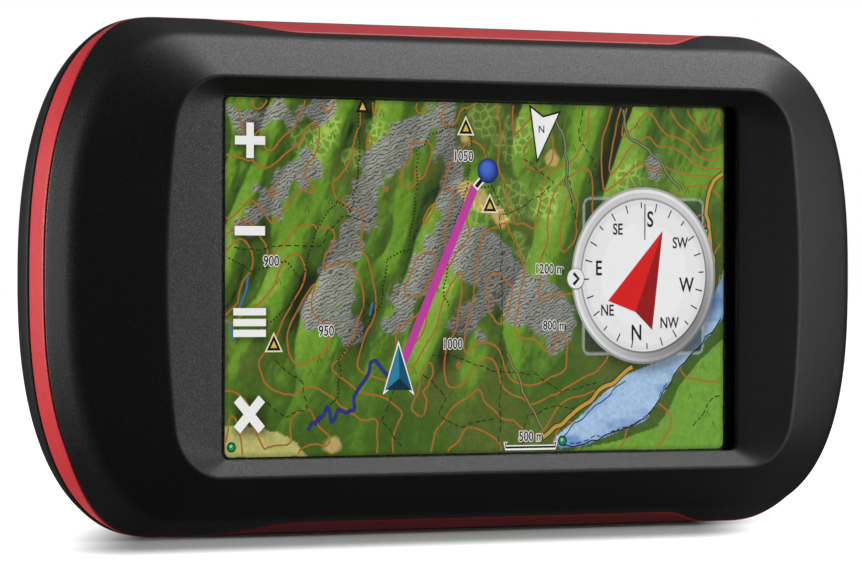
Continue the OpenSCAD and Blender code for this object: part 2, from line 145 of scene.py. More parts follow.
W_SPEC = ("S", HX, HZ, 21.5, 2.5)
F_SPEC = ("S", HX - 0.43, HZ - 1.76, 21.0, 2.52)
PLACE = place()
_wx = outline(W_SPEC)[:, 0]


def lap_weight():
    """How far the front housing laps over the band: 0 where the whole band shows, 1 where none does."""
    t = np.degrees(np.arcsin(np.clip((np.abs(outline(W_SPEC)[:, 1]) / HZ) ** 1.25, 0, 1)))
    corner = smooth((t - 36) / 46)
    left = smooth((-_wx - 28.5) / 15.0)
    right = smooth((_wx - 36.8) / 10.4)
    on_flat = PLACE >= 1
    return np.where(on_flat, np.where(_wx < 0, left, right), corner)


LAP = lap_weight()
R_W = ring(11.66, W_SPEC)
R_F = ring(7.93, F_SPEC)


def skin(off_depth=0.0, w=LAP, most=0.985):
    """The line where the front housing stops and the band starts."""
    r = mix(R_F, R_W, w * most)
    r[:, 1] += off_depth
    return r


def offset_in(r, by):
    """A ring moved towards the body's middle line by so many mm, in its own plane."""
    c = r[:, [0, 2]] - [0, HZ]
    t = np.roll(c, -1, 0) - np.roll(c, 1, 0)
    n = np.stack([t[:, 1], -t[:, 0]], 1)
    n /= np.maximum(np.linalg.norm(n, axis=1, keepdims=True), 1e-9)
    out = r.copy()
    out[:, 0] -= n[:, 0] * by
    out[:, 2] -= n[:, 1] * by
    return out


def rounded(rings, cuts, steps=6, closed=True):
    """Rounds the edge at each ring: cuts[i] mm are taken off both sides and an arc is put in."""
    out, n = [], len(rings)
    for i, r in enumerate(rings):
        c = cuts[i]
        if c <= 0 or (not closed and i in (0, n - 1)):
            out.append(r)
            continue
        a, b = rings[i - 1], rings[(i + 1) % n]
        da, db = a - r, b - r
        la = np.maximum(np.linalg.norm(da, axis=1, keepdims=True), 1e-6)
        lb = np.maximum(np.linalg.norm(db, axis=1, keepdims=True), 1e-6)
        pa = r + da * np.minimum(c / la, 0.48)
        pb = r + db * np.minimum(c / lb, 0.48)
        for k in range(steps + 1):
            t = k / steps
            out.append(pa * (1 - t) ** 2 + r * 2 * t * (1 - t) + pb * t ** 2)
    return out


def densify(rings, gap):
    """Adds rings so that no step between rings is longer than about gap mm."""
    out, n = [], len(rings)
    for i in range(n):
        a, b = rings[i], rings[(i + 1) % n]
        out.append(a)
        k = int(np.percentile(np.linalg.norm(b - a, axis=1), 80) // gap)
        for j in range(1, k + 1):
            out.append(a + (b - a) * j / (k + 1))
    return out


# =====================================================================
# Mesh helpers
# =====================================================================
def new_object(name, verts, faces, mat=None, body="housing", smooth_angle=35, slot=None):
    me = bpy.data.meshes.new(name)
    me.from_pydata([tuple(v) for v in np.asarray(verts) * MM], [], [tuple(f) for f in faces])
    me.validate()
    ob = bpy.data.objects.new(name, me)
    scene.collection.objects.link(ob)
    finish_mesh(ob, smooth_angle)
    if mat is not None:
        me.materials.append(mat)
    if body:
        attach(ob, body)
    return ob


def finish_mesh(ob, smooth_angle=35, fix_normals=True):
    me = ob.data
    bm = bmesh.new()
    bm.from_mesh(me)
    if fix_normals:
        bmesh.ops.recalc_face_normals(bm, faces=bm.faces)
    for f in bm.faces:
        f.smooth = True
    lim = math.radians(smooth_angle)
    for e in bm.edges:
        e.smooth = not (len(e.link_faces) == 2 and e.calc_face_angle(0) > lim)
    bm.to_mesh(me)
    bm.free()


def hoop(rings, name, mat, **kw):
    n, m = len(rings[0]), len(rings)
    verts = np.concatenate(rings)
    i = np.arange(n)
    faces = []
    for j in range(m):
        a, b = j * n, ((j + 1) % m) * n
        faces.append(np.stack([a + i, a + (i + 1) % n, b + (i + 1) % n, b + i], 1))
    return new_object(name, verts, np.concatenate(faces).tolist(), mat, **kw)


def cup(rings, name, mat, **kw):
    """A closed solid whose first and last rings are capped."""
    n, m = len(rings[0]), len(rings)
    verts = list(np.concatenate(rings))
    i = np.arange(n)
    faces = []
    for j in range(m - 1):
        a, b = j * n, (j + 1) * n
        faces += np.stack([a + i, a + (i + 1) % n, b + (i + 1) % n, b + i], 1).tolist()
    for j in (0, m - 1):
        faces.append([int(j * n + k) for k in i])
    return new_object(name, verts, faces, mat, **kw)


def cad_copy(node, mat, bevel=0.0, segments=2, angle=30, name=None, smooth_angle=40):
    """A new piece from a CAD node's own shape, cleaned and with its edges eased; it stands for the node."""
    src = frame["nodes"][node]
    me = src.data.copy()
    me.materials.clear()
    me.materials.append(mat)
    ob = bpy.data.objects.new(name or node + "_visual", me)
    scene.collection.objects.link(ob)
    bm = bmesh.new()
    bm.from_mesh(me)
    for lay in list(bm.loops.layers.uv.values()):
        bm.loops.layers.uv.remove(lay)
    bmesh.ops.remove_doubles(bm, verts=bm.verts, dist=2e-6)
    bmesh.ops.dissolve_limit(bm, angle_limit=math.radians(1.0), verts=bm.verts, edges=bm.edges)
    bmesh.ops.recalc_face_normals(bm, faces=bm.faces)
    for f in bm.faces:
        f.smooth = True
    bm.to_mesh(me)
    bm.free()
    if bevel > 0:
        mod = ob.modifiers.new("ease", "BEVEL")
        mod.width = bevel * MM
        mod.segments = segments
        mod.limit_method = "ANGLE"
        mod.angle_limit = math.radians(angle)
        mod.use_clamp_overlap = True
        mod.harden_normals = False
        apply_modifiers(ob)
    finish_mesh(ob, smooth_angle, fix_normals=False)
    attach(ob, BODY_OF[node])
    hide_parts(node)
    return ob


def apply_modifiers(ob):
    dg = bpy.context.evaluated_depsgraph_get()
    me = bpy.data.meshes.new_from_object(ob.evaluated_get(dg), preserve_all_data_layers=True, depsgraph=dg)
    old = ob.data
    ob.modifiers.clear()
    ob.data = me
    bpy.data.meshes.remove(old)


def paint(node, mat):
    """Gives a CAD node, as it is, a better material."""
    ob = frame["nodes"][node]
    if not ob.material_slots:
        ob.data.materials.append(mat)
    for s in ob.material_slots:
        s.material = mat


# =====================================================================
# Materials
# =====================================================================
def material(name, color=(0.5, 0.5, 0.5), rough=0.5, metal=0.0, spec=0.5, coat=0.0, sheen=0.0):
    m = bpy.data.materials.new(name)
    m.use_nodes = True
    nt = m.node_tree
    p = nt.nodes["Principled BSDF"]
    p.inputs["Base Color"].default_value = (*color, 1)
    p.inputs["Roughness"].default_value = rough
    p.inputs["Metallic"].default_value = metal
    p.inputs["Specular IOR Level"].default_value = spec
    p.inputs["Coat Weight"].default_value = coat
    p.inputs["Sheen Weight"].default_value = sheen
    return m, nt, p


def node(nt, kind, **kw):
    n = nt.nodes.new(kind)
    for k, v in kw.items():
        if k in n.inputs:
            n.inputs[k].default_value = v
        else:
            setattr(n, k, v)
    return n


def coords(nt, scale=(1, 1, 1)):
    """Object coordinates in millimetres."""
    tc = nt.nodes.new("ShaderNodeTexCoord")
    mp = nt.nodes.new("ShaderNodeMapping")
    mp.inputs["Scale"].default_value = tuple(1000 * s for s in scale)
    nt.links.new(tc.outputs["Object"], mp.inputs["Vector"])
    return mp.outputs["Vector"]


def noise(nt, vec, scale, detail=2.0, rough=0.5, distortion=0.0):
    n = nt.nodes.new("ShaderNodeTexNoise")
    n.inputs["Scale"].default_value = scale
    n.inputs["Detail"].default_value = detail
    n.inputs["Roughness"].default_value = rough
    n.inputs["Distortion"].default_value = distortion
    nt.links.new(vec, n.inputs["Vector"])
    return n.outputs["Fac"]


def ramp(nt, fac, stops):
    r = nt.nodes.new("ShaderNodeValToRGB")
    e = r.color_ramp.elements
    while len(e) > 1:
        e.remove(e[-1])
    e[0].position, e[0].color = stops[0][0], (*stops[0][1], 1)
    for pos, col in stops[1:]:
        x = e.new(pos)
        x.color = (*col, 1)
    nt.links.new(fac, r.inputs["Fac"])
    return r.outputs["Color"]


def value_map(nt, fac, lo, hi, a=0.3, b=0.7):
    m = nt.nodes.new("ShaderNodeMapRange")
    m.inputs["From Min"].default_value = a
    m.inputs["From Max"].default_value = b
    m.inputs["To Min"].default_value = lo
    m.inputs["To Max"].default_value = hi
    nt.links.new(fac, m.inputs["Value"])
    return m.outputs["Result"]


def bump(nt, p, height, strength, distance):
    b = nt.nodes.new("ShaderNodeBump")
    b.inputs["Strength"].default_value = strength
    b.inputs["Distance"].default_value = distance * MM
    nt.links.new(height, b.inputs["Height"])
    nt.links.new(b.outputs["Normal"], p.inputs["Normal"])
    return b


def grained_plastic(name, dark, light, rough=0.46, grain=4.2, depth=0.035, spec=0.5, wear=0.0):
    """Fine spark-eroded grain, with a little unevenness in colour and gloss."""
    m, nt, p = material(name, dark, rough, spec=spec)
    v = coords(nt)
    fine = noise(nt, v, grain, 3.0, 0.62)
    broad = noise(nt, v, 0.09, 3.0, 0.5)
    mixf = nt.nodes.new("ShaderNodeMath")
    mixf.operation = "MULTIPLY_ADD"
    mixf.inputs[1].default_value = 0.75
    nt.links.new(fine, mixf.inputs[0])
    half = nt.nodes.new("ShaderNodeMath")
    half.operation = "MULTIPLY"
    half.inputs[1].default_value = 0.25
    nt.links.new(broad, half.inputs[0])
    nt.links.new(half.outputs[0], mixf.inputs[2])
    col = ramp(nt, mixf.outputs[0], [(0.33, dark), (0.5, tuple((a + b) / 2 for a, b in zip(dark, light))), (0.68, light)])
    nt.links.new(col, p.inputs["Base Color"])
    nt.links.new(value_map(nt, fine, rough - 0.07, rough + 0.08, 0.35, 0.65), p.inputs["Roughness"])
    bump(nt, p, fine, 0.55, depth)
    return m


M_FRONT = grained_plastic("front_plastic", (0.0055, 0.0055, 0.006), (0.0115, 0.0115, 0.012))
M_REAR = grained_plastic("rear_plastic", (0.008, 0.008, 0.0085), (0.016, 0.016, 0.017), rough=0.5)
M_BAND = grained_plastic("band_plastic", (0.67, 0.040, 0.048), (0.80, 0.066, 0.074), rough=0.42, grain=5.0, depth=0.012)
M_GASKET, _, _ = material("gasket_black", (0.006, 0.006, 0.006), 0.7)

# =====================================================================
# Front housing, band, seal and rear housing shells
# =====================================================================
WIN = ("B", 45.8, 26.1, 1.2, 0.0)
CREST = ("B", 56.25, 28.7, 7.4, 2.6)
CREASE = ("S", HX - 3.2, HZ - 2.65, 19.6, 2.55)

crest = ring(0.0, CREST)
foot = ring(1.94, WIN)
wall = ring(2.72, WIN)
crease = ring(4.35, CREASE)
edge = skin()
tongue_at = edge.copy()
inner_spec = ("S", HX - 2.9, HZ - 3.4, 20, 2.45)
ti = ring(0, inner_spec)
tongue0 = ti.copy(); tongue0[:, 1] = edge[:, 1]
tongue1 = ring(13.4, inner_spec)
tongue2 = ring(13.4, ("S", HX - 4.3, HZ - 4.7, 19, 2.45))
cav1 = ring(7.2, ("S", HX - 6.5, HZ - 4.8, 18, 2.6))
cav2 = ring(4.7, ("B", HX - 18.6, HZ - 6.2, 5, 1.5))
seat1 = ring(3.9, ("B", 50.3, 29.7, 2.0, 0))
seat2 = ring(2.62, ("B", 50.3, 29.7, 2.0, 0))
seat3 = ring(2.72, WIN)

mid_slope = mix(crest, crease, 0.5)
mid_slope[:, 1] -= 0.10        # the sloped rim is a little crowned
rings = [foot, crest, mid_slope, crease, edge, tongue0, tongue1, tongue2, cav1, cav2, seat1, seat2, wall]
cuts = [0.30, 0.55, 3.0, 1.3, 0.35, 0, 0, 0, 0, 0, 0, 0, 0]
rings = rounded(rings, cuts, steps=7)
rings = densify(rings, 2.6)
front = hoop(rings, "front_housing_shell", M_FRONT, slot="housing_front", smooth_angle=50)
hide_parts("front_housing")

b_front = skin(0.06)
b_low = offset_in(b_front, 0.0); b_low = ring(0, ("S", HX - 2.6, HZ - 3.1, 20.2, 2.45)); b_low[:, 1] = b_front[:, 1]
b_proud = mix(b_front, R_W, 0.12)
b_rear = ring(11.66, ("S", HX - 0.1, HZ - 0.1, 21.5, 2.5))
b_rear_in = ring(11.66, ("S", HX - 2.6, HZ - 3.1, 20.2, 2.45))
front_out = offset_in(b_front, -0.10)
rings = rounded([front_out, b_rear, b_rear_in, b_low], [0.22, 0.28, 0, 0], steps=6)
rings = densify(rings, 1.0)
band = hoop(rings, "accent_band_shell", M_BAND, slot="accent", smooth_angle=50)
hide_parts("accent_band")

g = [ring(11.62, ("S", HX - 0.75, HZ - 0.85, 21.2, 2.4)), ring(12.0, ("S", HX - 0.75, HZ - 0.85, 21.2, 2.4)),
     ring(12.0, ("S", HX - 2.6, HZ - 3.1, 20.2, 2.45)), ring(11.62, ("S", HX - 2.6, HZ - 3.1, 20.2, 2.45))]
gasket = hoop(rounded(g, [0.1, 0.1, 0, 0], 3), "case_gasket_bead", M_GASKET, slot="gasket_black")
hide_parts("case_gasket")

rear_specs = [
    (11.96, 0.30, 0.34), (12.06, 0.12, 0.14), (12.25, 0.0, 0.02), (13.0, 0.02, 0.0), (14.0, 0.2, 0.0), (15.0, 0.42, 0.0),
    (16.0, 0.72, 0.0), (17.0, 1.22, 0.0), (18.0, 1.85, 0.0), (21.0, 3.8, 0.0), (24.0, 5.8, 0.02), (26.0, 7.15, 0.12), (28.0, 8.6, 0.4),
    (30.0, 10.2, 0.95), (31.8, 11.8, 1.85), (33.2, 13.2, 2.95), (34.4, 14.6, 4.3), (35.3, 15.9, 5.7), (35.9, 17.0, 7.05),
    (36.25, 18.0, 8.3), (36.4, 19.2, 9.8)]
def rear_ring(d, dx, dz):
    k = smooth((d - 30) / 6.4)
    j = smooth((d - 12.2) / 3.6)
    return ring(d, ("S", HX - dx, HZ - dz, 21.5 + 1.3 * j - 3.8 * k, 2.48 - 0.08 * j))
outer = [rear_ring(*s) for s in rear_specs]
inner = [ring(34.2, ("S", HX - 19.2, HZ - 8.9, 17, 2.45)), ring(32.8, ("S", HX - 15.9, HZ - 6, 19, 2.45)),
         ring(30, ("S", HX - 12.6, HZ - 3.6, 20, 2.45)), ring(26, ("S", HX - 9.4, HZ - 2.8, 20, 2.45)),
         ring(21, ("S", HX - 6, HZ - 2.8, 20, 2.45)), ring(16, ("S", HX - 3.2, HZ - 2.8, 20, 2.45)), ring(11.98, ("S", HX - 2.6, HZ - 3.1, 20, 2.45))]
rear = cup(outer, "rear_housing_shell", M_REAR, slot="housing_rear", smooth_angle=40)
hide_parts("rear_housing")


def rr_loop(w, hgt, r, n=9):
    r = min(r, w / 2 - 1e-4, hgt / 2 - 1e-4)
    out = []
    for sx, sz, t0 in ((1, 1, 0), (-1, 1, 90), (-1, -1, 180), (1, -1, 270)):
        for k in range(n + 1):
            t = math.radians(t0 + 90 * k / n)
            out.append((sx * (w / 2 - r) + r * math.cos(t), sz * (hgt / 2 - r) + r * math.sin(t)))
    return np.array(out)


def plug(axis, a, b, levels, w, hgt, r, n=9):
    """A solid along Y or Z through (a, b): levels are (place along the axis, growth of the outline)."""
    rings_ = []
    for at, grow in levels:
        p = rr_loop(w + 2 * grow, hgt + 2 * grow, r + grow, n)
        if axis == "y":
            rings_.append(np.stack([p[:, 0] + a, np.full(len(p), at - YC), p[:, 1] + b + HZ], 1))
        else:
            rings_.append(np.stack([p[:, 0] + a, p[:, 1] + b - YC, np.full(len(p), at + HZ)], 1))
    return cup(rings_, "tool", None, body=None)


def flare(lo, surf, by=0.26):
    """Levels of a cutter whose mouth opens with a small round edge at the surface."""
    return [(lo, 0), (surf - by, 0), (surf - by * 0.45, by * 0.13), (surf - by * 0.12, by * 0.48), (surf + 0.02, by * 1.05), (surf + 1.2, by * 1.2)]


def rod(axis, a, b, lo, hi, r, n=40):
    return plug(axis, a, b, [(lo, 0), (hi, 0)], 2 * r, 2 * r, r, n // 4)


def carve(target, tools, how="DIFFERENCE"):
    for t in tools:
        mod = target.modifiers.new("c", "BOOLEAN")
        mod.operation = how
        mod.solver = "MANIFOLD"
        mod.object = t
        apply_modifiers(target)
        bpy.data.objects.remove(t)


KX, UX, AX = -34.0, 30.0, 8.0
CASE_END = [(x, z) for x in (-57, 57) for z in (-20, 20)]
CASE_MID = [(-6, -31.3), (-6, 31.3)]
hollow = cup(inner, "tool", None, body=None)
carve(rear, [hollow])
carve(rear, [plug("y", 3, 0, [(20, 0), (34.6, 0)], 82.4, 52.4, 1.0)] + [rod("y", x, z, 14.2, 26 if abs(x) > 20 else 32.3, 3.3 if abs(x) > 20 else 3.6) for x, z in CASE_END + CASE_MID]
      + [rod("y", x, math.copysign(29.7, z), 31.8, 34.4, 3.1) for x, z in CASE_MID], "UNION")
cuts_ = [plug("y", 3, 0, [(21.4, 0), (38, 0)], 77, 47, 1.2), plug("y", 3, 0, flare(34, 36.4, 0.3), 81.4, 51.4, 5)]
cuts_ += [rod("y", x, z, 14, 22, 1.5) for x, z in CASE_END + CASE_MID]
cuts_ += [rod("y", x, z, 18, 38, 2.7 if abs(x) > 20 else 2.2) for x, z in CASE_END + CASE_MID]
cuts_ += [plug("z", KX, 18.2, flare(33, 37.4, 0.3), 12.2, 5.4, 2.2)]
for x0, x1 in ((UX - 7.4, UX + 8.2), (AX - 5.4, AX + 7)):
    cuts_.append(plug("z", (x0 + x1) / 2, PD, flare(36.0, 37.4, 0.26), x1 - x0 + 0.5, 8.2, 1.6))
    hc = cup([np.stack([x1 + 1.3 * np.cos(t_), np.full(48, PD - YC + s_), 36.5 + HZ + 1.3 * np.sin(t_)], 1) for s_ in (-4.1, 4.1) for t_ in [np.linspace(0, 2 * np.pi, 48, endpoint=False)]], "tool", None, body=None)
    cuts_.append(hc)
cuts_ += [plug("z", UX, PD, [(33, 0), (37, 0)], 8.4, 4.6, 0.8), rod("z", AX, PD, 33, 37, 3.0)]
cuts_ += [rod("y", CX, 4.5, 33, 37, 3.1), rod("y", CX, 4.5, 34.9, 37, 3.75), plug("y", CX, 4.5, flare(35.5, 36.4, 0.2), 10.2, 10.2, 5.1, 16)]
cuts_ += [rod("y", CX, -8, 33, 37, 2.5), plug("y", CX - 0.9, -8, flare(35.05, 36.4, 0.24), 10, 8.4, 1.6)]
cuts_.append(cup([np.stack([CX - 5.6 + 1.3 * np.cos(t_), 35.6 - YC + 1.3 * np.sin(t_), np.full(48, -8 + s_ + HZ)], 1) for s_ in (-4.2, 4.2) for t_ in [np.linspace(0, 2 * np.pi, 48, endpoint=False)]], "tool", None, body=None))
cuts_ += [plug("y", 47.6, 0, flare(33, 36.4, 0.2), 4.4, 18.4, 1.2)]
cuts_ += [plug("y", 48.2 + i * 2.1, 14, flare(33, 36.35, 0.12), 0.8, 4.4, 0.38) for i in (-1, 0, 1)]
cuts_ += [plug("y", 48.2, -14, flare(33, 36.38, 0.14), 2.0, 2.0, 1.0)]
carve(rear, cuts_)
finish_mesh(rear, 32)

# =====================================================================
# More materials
# =====================================================================
def srgb(r, g, b):
    return tuple(((c / 255) / 12.92 if c / 255 <= 0.04045 else ((c / 255 + 0.055) / 1.055) ** 2.4) for c in (r, g, b))


def stuff(name, c0, c1, rough=0.5, metal=0.0, scale=2.0, stretch=(1, 1, 1), depth=0.02, strength=0.5, spec=0.5, coat=0.0, spread=0.08):
    """A surface whose colour, gloss and height vary with one noise, stretched for brushed or drawn metal."""
    m, nt, p = material(name, c0, rough, metal, spec, coat)
    v = coords(nt, stretch)
    f = noise(nt, v, scale, 4.0, 0.6)
    nt.links.new(ramp(nt, f, [(0.3, c0), (0.7, c1)]), p.inputs["Base Color"])
    nt.links.new(value_map(nt, f, max(rough - spread, 0.03), min(rough + spread, 1)), p.inputs["Roughness"])
    bump(nt, p, f, strength, depth)
    return m


def board(name):
    """Solder mask over copper tracks."""
    m, nt, p = material(name, (0.01, 0.09, 0.03), 0.35)
    v = coords(nt)
    b = nt.nodes.new("ShaderNodeTexBrick")
    b.inputs["Scale"].default_value = 0.42
    b.inputs["Mortar Size"].default_value = 0.035
    b.inputs["Color1"].default_value = (0.008, 0.075, 0.028, 1)
    b.inputs["Color2"].default_value = (0.010, 0.10, 0.036, 1)
    b.inputs["Mortar"].default_value = (0.03, 0.20, 0.07, 1)
    nt.links.new(v, b.inputs["Vector"])
    nt.links.new(b.outputs["Color"], p.inputs["Base Color"])
    bump(nt, p, b.outputs["Fac"], 0.6, 0.03)
    return m


def clear(name, tint, alpha, rough=0.03):
    m, nt, p = material(name, tint, rough, spec=0.5)
    f = noise(nt, coords(nt), 0.15, 2.0)
    nt.links.new(value_map(nt, f, rough, rough + 0.03), p.inputs["Roughness"])
    p.inputs["Alpha"].default_value = alpha
    return m


M_DOOR = grained_plastic("door_plastic", (0.012, 0.012, 0.013), (0.023, 0.023, 0.0245), rough=0.5)
M_LATCH = grained_plastic("latch_plastic", (0.016, 0.016, 0.017), (0.03, 0.03, 0.032), rough=0.44, grain=5)
M_CONN = grained_plastic("connector_plastic", (0.010, 0.010, 0.011), (0.018, 0.018, 0.019), rough=0.4, grain=3)
M_KEY = grained_plastic("key_rubber", (0.012, 0.012, 0.0125), (0.02, 0.02, 0.021), rough=0.62, grain=6, depth=0.02)
M_CAP = grained_plastic("cap_rubber", (0.011, 0.011, 0.0115), (0.019, 0.019, 0.02), rough=0.66, grain=5, depth=0.02)
M_BATT = grained_plastic("battery_wrap", (0.010, 0.010, 0.011), (0.02, 0.02, 0.022), rough=0.36, grain=2.0, depth=0.01)
M_CARD = grained_plastic("card_plastic", (0.006, 0.006, 0.008), (0.012, 0.012, 0.015), rough=0.42, grain=3)
M_GREY = stuff("silicone_grey", (0.16, 0.165, 0.17), (0.21, 0.215, 0.22), 0.55, scale=1.2)
M_BLACKRUB = stuff("foam_black", (0.005, 0.005, 0.005), (0.012, 0.012, 0.012), 0.75, scale=6, depth=0.05)
M_GASKET = stuff("gasket_black", (0.004, 0.004, 0.004), (0.008, 0.008, 0.008), 0.62, scale=4, depth=0.02)
M_TIN = stuff("tinned_steel", (0.52, 0.53, 0.55), (0.66, 0.67, 0.69), 0.32, 1.0, 1.2, (1, 1, 6), depth=0.006)
M_STEEL = stuff("plated_steel", (0.42, 0.43, 0.46), (0.56, 0.57, 0.60), 0.30, 1.0, 2.0, (1, 5, 1), depth=0.006)
M_RING = stuff("drawn_wire", (0.46, 0.47, 0.49), (0.60, 0.61, 0.63), 0.24, 1.0, 1.6, (6, 6, 0.6), depth=0.006)
M_BEZEL = stuff("turned_ring", (0.20, 0.205, 0.215), (0.30, 0.31, 0.32), 0.30, 1.0, 3.0, (1, 1, 1), depth=0.006)
M_GOLD = stuff("gold_plate", (0.72, 0.48, 0.16), (0.85, 0.62, 0.26), 0.22, 1.0, 1.5, depth=0.004)
M_FLEX = stuff("flex_film", (0.40, 0.19, 0.03), (0.52, 0.28, 0.06), 0.3, scale=1.2, stretch=(0.3, 1, 4))
M_CERAMIC = stuff("ceramic", (0.56, 0.50, 0.36), (0.68, 0.62, 0.46), 0.6, scale=5, depth=0.03)
M_WHITE = stuff("light_guide", (0.74, 0.75, 0.76), (0.84, 0.84, 0.83), 0.3, scale=0.8)
M_SWITCH = stuff("switch_white", (0.60, 0.60, 0.57), (0.70, 0.70, 0.67), 0.45, scale=3)
M_MEMB = stuff("membrane", (0.66, 0.66, 0.66), (0.80, 0.80, 0.80), 0.9, scale=14, depth=0.05)
M_SCREW = stuff("black_screw", (0.02, 0.02, 0.021), (0.05, 0.05, 0.053), 0.38, 0.8, 6)
M_LCD = stuff("panel_glass", (0.004, 0.005, 0.006), (0.010, 0.012, 0.013), 0.12, scale=0.3, coat=0.5)
M_BOARD = board("circuit_board")
M_BORDER = stuff("border_print", (0.0022, 0.0022, 0.0024), (0.004, 0.004, 0.0042), 0.30, scale=2.0, depth=0.002)
M_GLASS = clear("cover_glass", (0.0, 0.0, 0.0), 0.05, 0.04)
M_FILM = clear("touch_film", (0.0, 0.0, 0.0), 0.02, 0.1)
M_LENS = clear("lens_glass", (0.01, 0.012, 0.02), 0.55, 0.03)

# =====================================================================
# The picture on the display. u runs along the body and v up, both mm about the middle.
# =====================================================================
PU, PV = 44.45, 25.87
PICT_D = 3.765
rng = np.random.RandomState(7)


def lattice(n, m, seed):
    return np.random.RandomState(seed).rand(n, m)


def vnoise(x, y, seed):
    """Smooth value noise, 0 to 1."""
    g = lattice(97, 97, seed)
    xi, yi = np.floor(x).astype(int), np.floor(y).astype(int)
    fx, fy = x - xi, y - yi
    fx, fy = fx * fx * (3 - 2 * fx), fy * fy * (3 - 2 * fy)
    a = g[xi % 97, yi % 97]
    b = g[(xi + 1) % 97, yi % 97]
    c = g[xi % 97, (yi + 1) % 97]
    d = g[(xi + 1) % 97, (yi + 1) % 97]
    return (a * (1 - fx) + b * fx) * (1 - fy) + (c * (1 - fx) + d * fx) * fy


def fbm(x, y, seed, octaves=4, gain=0.5):
    out, amp, tot = 0, 1.0, 0
    for k in range(octaves):
        out = out + amp * vnoise(x * 2 ** k + 13.7 * k, y * 2 ** k + 5.1 * k, seed + k)
        tot += amp
        amp *= gain
    return out / tot


def to_line(u, v, line):
    """Distance from each point to a polyline."""
    best = np.full(np.shape(u), 1e9)
    for (a, b), (c, d) in zip(line[:-1], line[1:]):
        dx, dy = c - a, d - b
        t = np.clip(((u - a) * dx + (v - b) * dy) / max(dx * dx + dy * dy, 1e-9), 0, 1)
        best = np.minimum(best, np.hypot(u - a - t * dx, v - b - t * dy))
    return best


def inside(u, v, poly):
    r = np.zeros(np.shape(u), bool)
    n = len(poly)
    for i in range(n):
        (a, b), (c, d) = poly[i], poly[(i + 1) % n]
        hit = (b > v) != (d > v)
        r ^= hit & (u < (c - a) * (v - b) / ((d - b) if d != b else 1e-9) + a)
    return r


def step01(x, a, b):
    t = np.clip((x - a) / (b - a), 0, 1)
    return t * t * (3 - 2 * t)


def ground(u, v):
    """Height of the land: long ridges that run up and a little to the right."""
    a = math.radians(68)
    p = u * math.sin(a) - v * math.cos(a) + 1.6 * (fbm(u / 9 + 30, v / 9 + 30, 40) - 0.5)
    q = u * math.cos(a) + v * math.sin(a)
    ridge = 1 - np.abs(2 * fbm(p / 10.5 + 20, q / 26 + 20, 11, 2, 0.35) - 1)
    fine = fbm(p / 4.6 + 40, q / 8 + 40, 21, 4)
    fade = 1 - 0.55 * step01(u, 8, 26) * (1 - step01(v, 8, 20)) - 0.35 * step01(-v, 12, 20)
    return (4.4 * ridge + 0.95 * fine) * np.clip(fade, 0.25, 1) + 0.035 * (v + 0.4 * u)


LAKE = [(44.5, 1.5), (42.1, -3.8), (38.2, -8.5), (34.2, -12.0), (25.6, -14.8), (22.1, -17.4), (17.2, -21.1), (13.0, -24.0),
        (14.4, -25.4), (18.6, -25.1), (23.5, -23.5), (29.9, -21.5), (32.8, -17.8), (35.3, -14.6), (38.5, -11.4), (42.2, -8.5), (44.5, -5.6)]
PALE = [(-44.6, -21.4), (-38.8, -21.7), (-34.3, -22.4), (-32.0, -23.8), (-30.3, -26.0), (-44.6, -26.0)]
MEADOW = [(44.6, -9.1), (40.7, -12.0), (36.7, -15.5), (34.6, -19.6), (32.1, -22.4), (25.0, -24.4), (16.5, -25.7), (44.6, -26.1)]
ROCK = [([(-42.2, 22.6), (-33.1, 24.0), (-26.5, 24.7)], 1.6), ([(-29.8, 16.8), (-33.7, 14.0), (-37.6, 10.1)], 2.2),
        ([(-9.2, 23.3), (-13.2, 21.0), (-17.9, 16.4), (-20.5, 12.5), (-21.2, 9.1), (-24.5, 2.4), (-27.1, -3.8), (-29.1, -6.0)], 2.5),
        ([(-6.4, 24.5), (-5.1, 16.6), (-5.7, 8.1), (-9.1, 2.4), (-13.1, -2.7), (-16.1, -7.5)], 2.4),
        ([(-3.0, 4.2), (0.4, 3.0), (4.6, -0.4), (8.7, -3.8), (12.9, -6.7)], 4.2), ([(-24.5, -3.8), (-23.5, -7.1)], 1.9),
        ([(0.5, -3.8), (-2.9, -7.2)], 2.4), ([(31.3, 17.4), (32.2, 15.4)], 0.8), ([(-41.0, 8.0), (-37.5, 12.5)], 1.3)]
SCRUB = [(-29.8, 19.0, 3.6), (-26.5, 21.3, 3.2), (-18.6, 21.5, 2.6), (0.4, 24.2, 3.6), (5.9, 20.8, 3.6), (-0.3, 9.3, 2.6), (4.5, 11.6, 3.4),
         (7.3, 4.2, 2.4), (27.0, 15.3, 2.6), (11.5, 11.1, 3.0), (-6.4, -1.5, 2.0), (-22.5, 17.5, 2.0)]

nu, nv = 382, 223
gu, gv = np.meshgrid(np.linspace(-PU, PU, nu), np.linspace(-PV, PV, nv), indexing="ij")
h = ground(gu, gv)
du = 2 * PU / (nu - 1)
hx_, hy_ = np.gradient(h, du)
light = np.clip(0.55 - 0.60 * hx_ + 0.26 * hy_, 0, 1)
light = np.clip(0.5 + (light - 0.5) * 1.12, 0, 1)
mottle = fbm(gu / 1.3 + 50, gv / 1.3 + 50, 61, 3)
flat_zone = step01(gu, 6, 24) * (1 - step01(gv, 2, 14)) * 0.8 + step01(-gv, 9, 17) * 0.55
light = light * (1 - np.clip(flat_zone, 0, 0.85)) + (0.40 + 0.10 * (mottle - 0.5)) * np.clip(flat_zone, 0, 0.85)


def tone(col):
    return np.array(srgb(*col))


